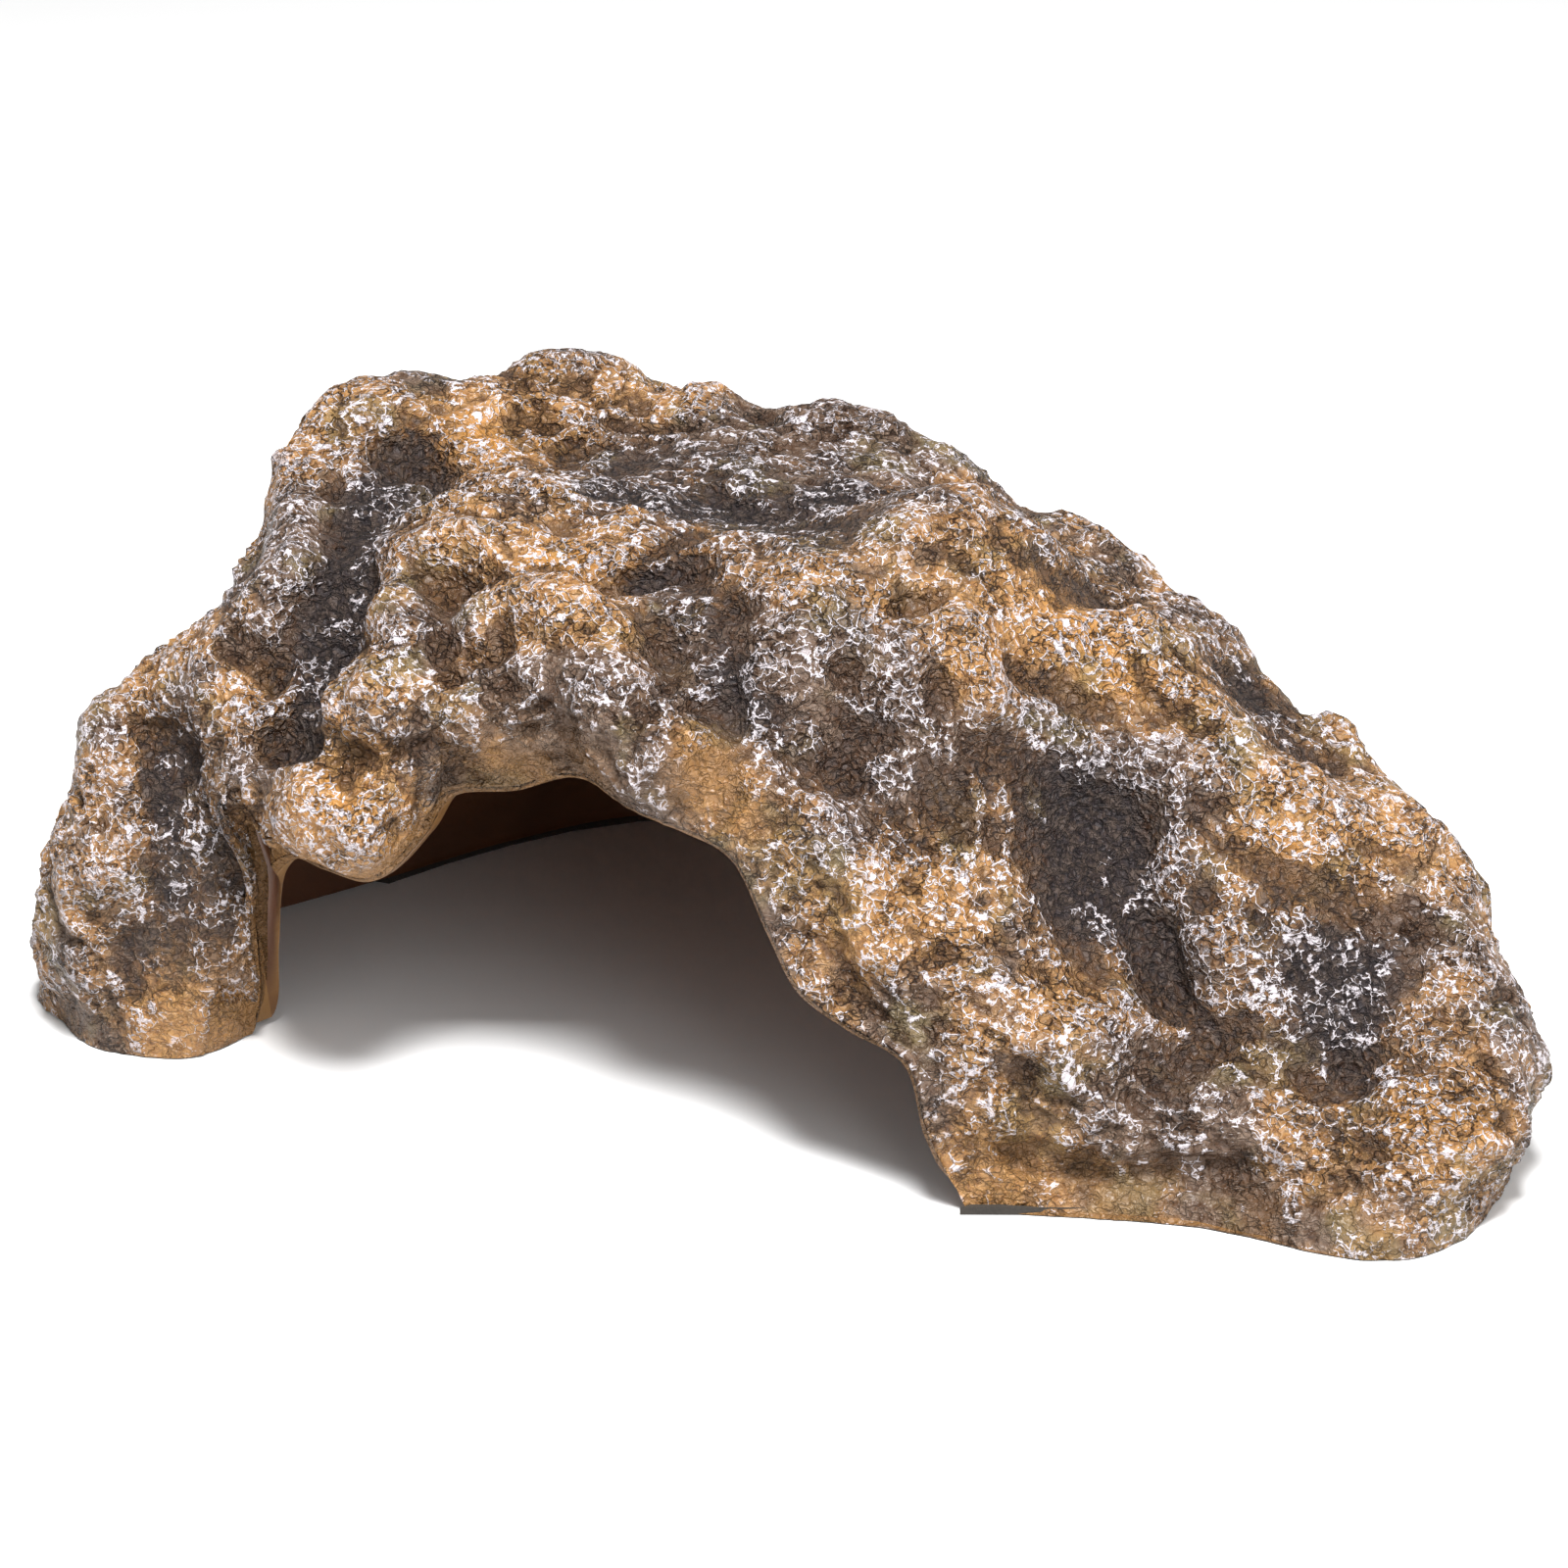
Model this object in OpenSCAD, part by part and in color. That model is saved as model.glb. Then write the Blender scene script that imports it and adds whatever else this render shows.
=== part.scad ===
// Rock-arch cave hide for a tank, cast in painted polyresin.
// The casting is a rock-faced outer coat on a smooth inner lining, open at the
// front and underneath. The left foot and the right toe are filled solid, and
// thin pads under the bottom edge keep the resin off the glass.
// +X runs along the arch, the cave mouth faces -Y and the floor is z = 0.

/* [Overall size] */
// Length of the casting along X
length = 288; // [230:1:350]
// Depth of the casting from the front of the feet to the back wall
depth = 168; // [135:1:205]
// Height of the highest boulder above the floor
height = 110; // [88:1:134]

/* [Wall] */
// Thickness of the wall at the edge of the mouth and at the bottom edge
lip_thickness = 6; // [4.5:0.5:8]
// Mean thickness of the wall away from its edges
wall_thickness = 8; // [7:0.5:11]
// Part of the wall that is the outer rock coat
coat_share = 0.4; // [0.35:0.05:0.5]

/* [Rock relief] */
// How far the boulders, ledges and grooves stand out, 1 is as cast
relief = 1; // [0.5:0.05:1.2]
// How rough the rock is between them, 1 is as cast
roughness = 1; // [0:0.05:1.2]

/* [Solid fill] */
// How far up the left foot the solid fill reaches, as a share of the way to the roof's middle
foot_fill_reach = 0.34; // [0.2:0.01:0.4]
// How far up the right toe the solid fill reaches, as a share of the same way
toe_fill_reach = 0.22; // [0.12:0.01:0.28]

/* [Pads] */
// Thickness of the pads under the bottom edge
pad_thickness = 1.5; // [1:0.25:3]
// How far the pads stand back from the outside of the wall
pad_inset = 2; // [1:0.25:3]
// How far the right pad sticks out at the mouth
pad_corner_overhang = 3; // [1:0.5:4]

/* [Detail] */
// Columns of facets for each station round the casting
columns_per_station = 2; // [1:1:3]
// Rows of facets from the bottom edge to the middle of the roof
row_count = 16; // [10:1:20]

/* [Hidden] */

// The tables below are drawn for this size, and scaled to the sizes above.
drawn_size = [288, 168, 110];
// Middle of the drawn footprint, which becomes the origin.
drawn_middle = [15, -3, 0];

// Stations round the casting, clockwise from the mouth seen from above. Each has
// its point on the bottom edge or the mouth's edge, a point on its flank, and a
// point on the brow where the wall turns into the roof.
MOUTH = [
    [[-82, -66, 0], [-80, -79, 45], [-78, -53, 83]],
    [[-79, -67, 16], [-75, -79, 54], [-73, -50, 88]],
    [[-76, -68, 32], [-72, -77, 60], [-68, -46, 93]],
    [[-66, -73, 41], [-62, -79, 62], [-62, -43, 97]],
    [[-55, -77, 43], [-52, -81, 68], [-56, -41, 99]],
    [[-44, -78, 44], [-41, -80, 72], [-49, -40, 100]],
    [[-37, -75, 52], [-35, -76, 75], [-42, -41, 99]],
    [[-33, -71, 59], [-29, -72, 77], [-35, -43, 97]],
    [[-22, -68, 61], [-20, -70, 78], [-27, -46, 94]],
    [[-10, -66, 65], [-7, -68, 81], [-18, -48, 93]],
    [[3, -70, 63], [7, -73, 78], [-6, -48, 93]],
    [[16, -73, 62], [20, -70, 77], [6, -45, 95]],
    [[26, -73, 58], [32, -66, 72], [16, -37, 98]],
    [[33, -74, 46], [43, -64, 62], [26, -28, 102]],
    [[40, -75, 36], [55, -62, 53], [35, -19, 105]],
    [[50, -76, 31], [67, -58, 46], [43, -11, 105]],
    [[62, -77, 27], [77, -56, 39], [50, -5, 101]],
    [[66, -76, 13], [87, -54, 33], [57, -1, 96]],
];
RIGHT_FOOT = [
    [[73, -72, 0], [98, -52, 27], [64, 1, 91]],
    [[92, -67, 0], [112, -48, 23], [71, 3, 86]],
    [[116, -61, 0], [127, -42, 24], [78, 5, 82]],
    [[141, -59, 0], [141, -36, 27], [84, 8, 79]],
    [[153, -48, 0], [149, -28, 28], [88, 12, 76]],
    [[155, -24, 0], [153, -15, 30], [88, 17, 73]],
];
BACK = [
    [[150, 2, 0], [145, 2, 27], [84, 23, 72]],
    [[136, 26, 0], [126, 21, 29], [75, 30, 71]],
    [[104, 50, 0], [97, 44, 36], [61, 40, 72]],
    [[62, 68, 0], [59, 62, 42], [41, 50, 77]],
    [[14, 79, 0], [14, 75, 46], [11, 56, 81]],
    [[-32, 78, 0], [-32, 74, 50], [-27, 54, 89]],
    [[-64, 62, 0], [-62, 59, 56], [-52, 44, 95]],
    [[-84, 36, 0], [-83, 33, 56], [-70, 26, 98]],
    [[-98, 6, 0], [-96, 6, 54], [-85, 4, 97]],
    [[-112, -24, 0], [-107, -22, 44], [-93, -18, 87]],
    [[-127, -50, 0], [-119, -52, 36], [-99, -36, 72]],
];
LEFT_FOOT = [
    [[-126, -70, 0], [-119, -68, 38], [-97, -45, 71]],
    [[-114, -79, 0], [-107, -76, 46], [-93, -50, 73]],
    [[-100, -84, 0], [-94, -79, 51], [-88, -53, 76]],
    [[-88, -80, 0], [-86, -80, 51], [-83, -54, 79]],
];
STATIONS = concat(MOUTH, RIGHT_FOOT, BACK, LEFT_FOOT);
station_count = len(STATIONS);
first_right_foot = len(MOUTH);
first_back = first_right_foot + len(RIGHT_FOOT);
first_left_foot = first_back + len(BACK);

// Middle of the roof, where all the columns meet.
ROOF_MIDDLE = [-28, 0, 98];
// Share of the brow's height in the ring halfway to the roof's middle.
brow_carry = 0.15;

// Relief of the rock. Each entry is the line that a boulder, ledge or groove
// follows, its spread and how far it stands out, negative for a groove.
RELIEF = [
    // left boulder, its foot and the groove beside it
    [[[-86, -14, 92], [-82, -26, 88]], 18, 10],
    [[[-80, -48, 82], [-80, -58, 78]], 12, 3],
    [[[-70, -12, 97], [-64, -42, 95], [-63, -60, 84], [-63, -74, 68]], 8, -9],
    // left foot, its upright groove and the bulges each side of it
    [[[-90, -76, 60], [-85, -81, 41], [-87, -81, 22]], 8, -8],
    [[[-107, -80, 32], [-105, -81, 21]], 14, 3],
    [[[-84, -69, 64], [-76, -80, 46]], 9, 3],
    [[[-118, -73, 35], [-115, -68, 45]], 8, -4],
    // shoulder on top of the left foot and the step up to the left boulder
    [[[-106, -63, 57], [-101, -56, 66]], 11, 7],
    [[[-104, -32, 68], [-100, -30, 76]], 7, -5],
    [[[-91, -12, 91], [-88, -5, 95]], 8, 3],
    // hanging lobe and the ledge over it
    [[[-50, -82, 53], [-48, -80, 49]], 12, 4],
    [[[-64, -73, 70], [-44, -74, 77], [-29, -72, 77]], 8, 5],
    // prow over the mouth and the groove at its right
    [[[-20, -55, 89], [-7, -66, 84], [7, -74, 73]], 11, 5],
    [[[-14, -43, 94], [6, -60, 88], [17, -70, 78]], 9, -4],
    // basin in the roof and its arm toward the mouth
    [[[-39, 3, 94], [-18, 4, 93], [16, -21, 101]], 13, -4],
    [[[-10, -21, 96], [9, -51, 92]], 9, -4],
    // crown, knob, small ridge and peak along the left and the back
    [[[-88, 4, 98], [-77, 15, 101]], 13, 6],
    [[[-68, 26, 103], [-60, 31, 102]], 10, 7],
    [[[-52, 37, 101], [-40, 35, 99]], 8, 4],
    [[[-37, 42, 99], [-31, 34, 97]], 6, 4],
    [[[-24, 39, 95], [-11, 52, 93], [11, 48, 88]], 12, 4],
    // saddles between them and the highest stretch of the back ridge
    [[[-75, 16, 100], [-72, 21, 100]], 6, -6],
    [[[-64, 29, 101], [-59, 31, 101]], 8, 3],
    [[[-55, 35, 99], [-52, 38, 98]], 5, -2],
    [[[-44, 39, 98], [-42, 40, 98]], 5, -4],
    [[[-29, 36, 96], [-25, 38, 96]], 6, -5],
    [[[-13, 43, 93], [6, 47, 88]], 9, 5],
    // front crest, the gap behind it and the boulder beyond
    [[[6, -44, 95], [21, -32, 100], [41, -11, 105], [51, -7, 97]], 10, 4],
    [[[50, -1, 100], [60, 4, 88]], 8, -6],
    [[[40, 42, 82], [60, 40, 74]], 10, 4],
    // ridges, hollows and grooves of the ramp
    [[[52, -5, 97], [68, -5, 79], [91, -5, 64], [120, -13, 49]], 12, 4],
    [[[83, 10, 73], [101, 4, 63]], 8, -6],
    [[[75, 25, 76], [78, 21, 74]], 8, 5],
    [[[106, 15, 59], [120, 7, 54], [132, 6, 40]], 9, 6],
    [[[74, -33, 60], [90, -37, 45]], 14, -8],
    [[[39, -57, 72], [55, -53, 62]], 13, -4],
    [[[28, -42, 91], [51, -33, 82], [61, -37, 70], [64, -49, 57]], 11, 5],
    [[[45, -64, 61], [68, -60, 43], [86, -58, 30]], 12, 4],
    [[[96, -43, 36], [105, -42, 32], [101, -50, 27]], 6, -4],
    [[[86, -19, 59], [103, -27, 44], [119, -30, 37]], 11, 4],
    // right toe, its hollow, its bulge and the groove over its bottom band
    [[[114, -30, 38], [133, -37, 28]], 13, -6],
    [[[153, -26, 30], [156, -39, 18]], 13, 3],
    [[[76, -70, 8], [107, -62, 7], [140, -53, 8]], 5, -2],
];
// Lattice size and height of the two sets of lumps between the relief.
LUMPS = [[26, 2.6], [13, 1.7]];
lump_shift = [0, 40];

// The wall stands out from this line through the cave, in plan.
spine_left = [-40, 10];
spine_right = [115, -15];
// Height where the outward direction starts to turn upward, under the left of
// the arch, and the place along X from where that height falls to the floor.
turn_height = 30;
turn_fall_start = 20;
turn_fall_length = 100;
turn_rate = 1.5;

// Share of the relief and of the lumps that each face of the wall follows.
COAT_FACE = [1, 1];
BOND_FACE = [0.85, 0.7];
LINING_FACE = [0.6, 0.2];
// The relief is weaker at the very edge, and grows to full over this share.
edge_relief = 0.35;
edge_share = 0.06;
// The wall reaches its mean thickness, and its outward direction its full
// upward turn, over these shares of the way to the roof's middle.
lip_share = 0.15;
turn_share = 0.12;

column_count = station_count * columns_per_station;
scale_drawn = [length / drawn_size[0], depth / drawn_size[1],
               (height - pad_thickness) / drawn_size[2]];

function smooth(low, high, x) =
    let (t = min(max((x - low) / (high - low), 0), 1)) t * t * (3 - 2 * t);

// Curve through the middle two of four points.
function spline(a, b, c, d, t) =
    0.5 * (2 * b + (c - a) * t + (2 * a - 5 * b + 4 * c - d) * t * t
           + (3 * b - a - 3 * c + d) * t * t * t);

// Rows 0 to 4 are the edge, flank, brow, half-way ring and roof's middle. The
// rows beyond each end mirror the last step.
function halfway(brow) = [
    (brow[0] + ROOF_MIDDLE[0]) / 2,
    (brow[1] + ROOF_MIDDLE[1]) / 2,
    brow_carry * brow[2] + (1 - brow_carry) * ROOF_MIDDLE[2]];
function net(column, row) =
    let (station = STATIONS[(column + station_count) % station_count])
    row < 0 ? 2 * station[0] - station[1]
    : row <= 2 ? station[row]
    : row == 3 ? halfway(station[2])
    : row == 4 ? ROOF_MIDDLE
    : 2 * ROOF_MIDDLE - halfway(station[2]);
function net_column(column, row, t) =
    spline(net(column, row - 1), net(column, row), net(column, row + 1),
           net(column, row + 2), t);

// Drawn form before relief. u counts stations and s runs from 0 at the edge to
// 1 at the roof's middle.
function form(u, s) =
    let (column = floor(u), row = min(floor(4 * s), 3), t = 4 * s - row)
    spline(net_column(column - 1, row, t), net_column(column, row, t),
           net_column(column + 1, row, t), net_column(column + 2, row, t),
           u - column);

function to_segment(p, a, b) =
    let (along = b - a, t = min(max((p - a) * along / (along * along), 0), 1))
    norm(p - a - t * along);
function to_line(p, line) =
    min([for (i = [0 : len(line) - 2]) to_segment(p, line[i], line[i + 1])]);
function sum(list, i = 0) = i >= len(list) ? 0 : list[i] + sum(list, i + 1);
function relief_at(p) =
    sum([for (r = RELIEF) r[2] * exp(-pow(to_line(p, r[0]) / r[1], 2))]);

// A repeatable number from 0 to 1 for each lattice corner.
function corner(x, y, z) =
    let (v = sin(x * 127.1 + y * 311.7 + z * 74.7) * 43758.5453) v - floor(v);
function lattice(p) =
    let (c = [for (v = p) floor(v)],
         w = [for (i = [0 : 2]) smooth(0, 1, p[i] - c[i])])
    2 * sum([for (i = [0, 1], j = [0, 1], k = [0, 1])
        (i == 1 ? w[0] : 1 - w[0]) * (j == 1 ? w[1] : 1 - w[1])
        * (k == 1 ? w[2] : 1 - w[2])
        * corner(c[0] + i, c[1] + j, c[2] + k)]) - 1;
function lumps_at(p) =
    sum([for (i = [0 : len(LUMPS) - 1])
        LUMPS[i][1] * lattice((p + lump_shift[i] * [1, 1, 1]) / LUMPS[i][0])]);

// Direction out of the wall at a drawn point.
function outward(p, s) =
    let (along = spine_right - spine_left,
         plan = [p[0], p[1]],
         t = min(max((plan - spine_left) * along / (along * along), 0), 1),
         side = plan - spine_left - t * along,
         fall = min(max((p[0] - turn_fall_start) / turn_fall_length, 0), 1),
         rise = turn_rate * max(p[2] - turn_height * (1 - fall), 0)
             * smooth(0, turn_share, s),
         d = [side[0], side[1], rise])
    d / norm(d);

// Point at real size on a face of the wall. follow is the face's share of the
// relief and the lumps, and sunk is its depth as a share of the wall.
function wall_point(u, s, follow, sunk) =
    let (p = form(u, s),
         d = outward(p, s),
         edge = edge_relief + (1 - edge_relief) * smooth(0, edge_share, s),
         raised = edge * (follow[0] * relief * relief_at(p)
                          + follow[1] * roughness * lumps_at(p)),
         thick = lip_thickness
             + (wall_thickness - lip_thickness) * smooth(0, lip_share, s),
         q = [for (i = [0 : 2]) (p[i] - drawn_middle[i]) * scale_drawn[i]]
             + d * (raised - sunk * thick))
    [q[0], q[1], max(q[2], 0) + pad_thickness];

// All the points of a face, ring by ring from the edge, and the middle last.
function face_points(follow, sunk) = concat(
    [for (k = [0 : row_count - 1], c = [0 : column_count - 1])
        wall_point(c / columns_per_station, k / row_count, follow, sunk)],
    [wall_point(0, 1, follow, sunk)]);

// Facets of a face, with the far side of the wall as its back. first is the
// index of its first point.
function face_facets(first, outside) =
    let (middle = first + row_count * column_count)
    [for (k = [0 : row_count - 1], c = [0 : column_count - 1])
        let (next = (c + 1) % column_count,
             a = first + k * column_count + c,
             b = first + k * column_count + next,
             up = column_count)
        k < row_count - 1
        ? (outside ? [a, a + up, b + up, b] : [a, b, b + up, a + up])
        : (outside ? [a, middle, b] : [a, b, middle])];

// Closed shell between two faces of the wall.
module wall_layer(outer_follow, outer_sunk, inner_follow, inner_sunk) {
    outer = face_points(outer_follow, outer_sunk);
    inner = face_points(inner_follow, inner_sunk);
    second = len(outer);
    edge = [for (c = [0 : column_count - 1])
        let (next = (c + 1) % column_count)
        [c, next, second + next, second + c]];
    polyhedron(
        points = concat(outer, inner),
        faces = concat(face_facets(0, true), face_facets(second, false), edge));
}

// Solid poured against the lining between two stations, up to a level ring.
module solid_fill(first_station, last_station, reach) {
    ring_count = max(round(reach * row_count), 1);
    first_column = first_station * columns_per_station;
    width = (last_station - first_station) * columns_per_station + 1;
    points = [for (k = [0 : ring_count], c = [0 : width - 1])
        wall_point((first_column + c) / columns_per_station,
                   k / row_count, LINING_FACE, 1)];
    sides = [for (k = [0 : ring_count - 1], c = [0 : width - 1])
        let (a = k * width + c, b = k * width + (c + 1) % width)
        [a, a + width, b + width, b]];
    top = ring_count * width;
    bottom_facets = [for (c = [1 : width - 2]) [0, c, c + 1]];
    top_facets = [for (c = [1 : width - 2]) [top, top + c + 1, top + c]];
    polyhedron(points = points,
               faces = concat(sides, bottom_facets, top_facets));
}

// Point of the bottom edge in plan, moved into the casting.
function edge_plan(u, inset) =
    let (p = form(u, 0), d = outward(p, 0),
         q = wall_point(u, 0, COAT_FACE, 0))
    [q[0] - inset * d[0], q[1] - inset * d[1]];

function edge_run(first, last, inset) =
    [for (u = [first : 0.5 : last]) edge_plan(u, inset)];

function reversed(list) = [for (i = [len(list) - 1 : -1 : 0]) list[i]];

module pad(outline) {
    linear_extrude(pad_thickness) polygon(outline);
}

module rock_coat() {
    color("#b9905f") wall_layer(COAT_FACE, 0, BOND_FACE, coat_share);
}

module inner_lining() {
    color("#4a2412") wall_layer(BOND_FACE, coat_share, LINING_FACE, 1);
}

module left_foot_fill() {
    color("#8a6238")
        solid_fill(first_left_foot - 1, station_count, foot_fill_reach);
}

module right_toe_fill() {
    color("#8a6238")
        solid_fill(first_right_foot + 2, first_back + 1, toe_fill_reach);
}

module left_foot_pad() {
    color("#2b2420")
        pad(edge_run(first_left_foot - 1, station_count - 0.5, pad_inset));
}

// Its corner at the mouth sticks out past the rock.
module right_foot_pad() {
    corner_point = edge_plan(first_right_foot, 0)
        + pad_corner_overhang * [-0.6, -0.8];
    color("#2b2420")
        pad(concat([corner_point],
                   edge_run(first_right_foot + 1, first_back + 1, pad_inset)));
}

// Strip under the back wall, inside both of its faces.
module back_pad() {
    strip_start = first_back + 3;
    strip_end = first_left_foot - 3;
    strip_back = lip_thickness - 0.5;
    color("#2b2420")
        pad(concat(edge_run(strip_start, strip_end, pad_inset),
                   reversed(edge_run(strip_start, strip_end, strip_back))));
}

rock_coat();
inner_lining();
left_foot_fill();
right_toe_fill();
left_foot_pad();
right_foot_pad();
back_pad();
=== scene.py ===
"""Rock-arch cave hide for a tank, cast in painted resin.

The rock coat is worked out as one surface on a square grid laid over the
casting, and carries the boulders, ledges, grooves, strata and wrinkles. The
smooth lining shares its bond surface and ends in a rounded bare lip round the
mouth. Lengths in the tables are millimetres; meshes are in metres.
"""

import math

import bpy
import numpy as np
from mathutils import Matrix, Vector


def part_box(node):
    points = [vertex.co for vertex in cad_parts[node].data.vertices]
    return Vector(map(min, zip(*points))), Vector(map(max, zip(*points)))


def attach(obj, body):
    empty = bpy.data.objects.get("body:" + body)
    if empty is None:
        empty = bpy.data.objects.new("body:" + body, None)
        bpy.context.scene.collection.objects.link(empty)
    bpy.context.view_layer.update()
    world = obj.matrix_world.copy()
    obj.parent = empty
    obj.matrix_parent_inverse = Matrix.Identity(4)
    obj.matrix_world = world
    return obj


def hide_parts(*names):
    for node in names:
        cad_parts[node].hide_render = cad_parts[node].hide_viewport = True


bl_info = {
    "name": "Rock-arch cave hide",
    "version": (1, 0, 0),
    "blender": (4, 5, 0),
    "location": "View3D > Sidebar > Cave hide",
    "description": "Builds a painted resin rock-arch cave hide round its CAD frame",
    "category": "Add Mesh",
}

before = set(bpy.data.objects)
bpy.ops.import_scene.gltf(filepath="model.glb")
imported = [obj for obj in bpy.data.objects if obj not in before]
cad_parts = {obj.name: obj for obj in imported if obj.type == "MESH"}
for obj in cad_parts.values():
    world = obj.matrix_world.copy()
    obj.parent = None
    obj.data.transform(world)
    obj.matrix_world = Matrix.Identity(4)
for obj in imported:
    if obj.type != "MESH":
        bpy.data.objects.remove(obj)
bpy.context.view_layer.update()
BODY = "root"
MM = 0.001

# ---------------------------------------------------------------- the form

# Box of the rock coat for which the tables below are drawn, and the middle of
# the drawn footprint.
DRAWN_BOX = np.array([[-143.70, -83.95, 1.5], [143.68, 83.73, 109.29]])
DRAWN_MIDDLE = np.array([15.0, -3.0, 0.0])

# Stations round the casting, clockwise from the mouth seen from above: a point
# on the edge, one on the flank, and one on the brow where the wall turns into
# the roof.
STATIONS = np.array([
    # mouth
    [(-82, -66, 0), (-80, -79, 45), (-78, -53, 83)],
    [(-79, -67, 16), (-75, -79, 54), (-73, -50, 88)],
    [(-76, -68, 32), (-72, -77, 60), (-68, -46, 93)],
    [(-66, -73, 41), (-62, -79, 62), (-62, -43, 97)],
    [(-55, -77, 43), (-52, -81, 68), (-56, -41, 99)],
    [(-44, -78, 44), (-41, -80, 72), (-49, -40, 100)],
    [(-37, -75, 52), (-35, -76, 75), (-42, -41, 99)],
    [(-33, -71, 59), (-29, -72, 77), (-35, -43, 97)],
    [(-22, -68, 61), (-20, -70, 78), (-27, -46, 94)],
    [(-10, -66, 65), (-7, -68, 81), (-18, -48, 93)],
    [(3, -70, 63), (7, -73, 78), (-6, -48, 93)],
    [(16, -73, 62), (20, -70, 77), (6, -45, 95)],
    [(26, -73, 58), (32, -66, 72), (16, -37, 98)],
    [(33, -74, 46), (43, -64, 62), (26, -28, 102)],
    [(40, -75, 36), (55, -62, 53), (35, -19, 105)],
    [(50, -76, 31), (67, -58, 46), (43, -11, 105)],
    [(62, -77, 27), (77, -56, 39), (50, -5, 101)],
    [(66, -76, 13), (87, -54, 33), (57, -1, 96)],
    # right foot
    [(73, -72, 0), (98, -52, 27), (64, 1, 91)],
    [(92, -67, 0), (112, -48, 23), (71, 3, 86)],
    [(116, -61, 0), (127, -42, 24), (78, 5, 82)],
    [(141, -59, 0), (141, -36, 27), (84, 8, 79)],
    [(153, -48, 0), (149, -28, 28), (88, 12, 76)],
    [(155, -24, 0), (153, -15, 30), (88, 17, 73)],
    # back
    [(150, 2, 0), (145, 2, 27), (84, 23, 72)],
    [(136, 26, 0), (126, 21, 29), (75, 30, 71)],
    [(104, 50, 0), (97, 44, 36), (61, 40, 72)],
    [(62, 68, 0), (59, 62, 42), (41, 50, 77)],
    [(14, 79, 0), (14, 75, 46), (11, 56, 81)],
    [(-32, 78, 0), (-32, 74, 50), (-27, 54, 89)],
    [(-64, 62, 0), (-62, 59, 56), (-52, 44, 95)],
    [(-84, 36, 0), (-83, 33, 56), (-70, 26, 98)],
    [(-98, 6, 0), (-96, 6, 54), (-85, 4, 97)],
    [(-112, -24, 0), (-107, -22, 44), (-93, -18, 87)],
    [(-127, -50, 0), (-119, -52, 36), (-99, -36, 72)],
    # left foot
    [(-126, -70, 0), (-119, -68, 38), (-97, -45, 71)],
    [(-114, -79, 0), (-107, -76, 46), (-93, -50, 73)],
    [(-100, -84, 0), (-94, -79, 51), (-88, -53, 76)],
    [(-88, -80, 0), (-86, -80, 51), (-83, -54, 79)],
], float)
STATION_COUNT = len(STATIONS)
ROOF_MIDDLE = np.array([-28.0, 0.0, 98.0])
BROW_CARRY = 0.15

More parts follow.
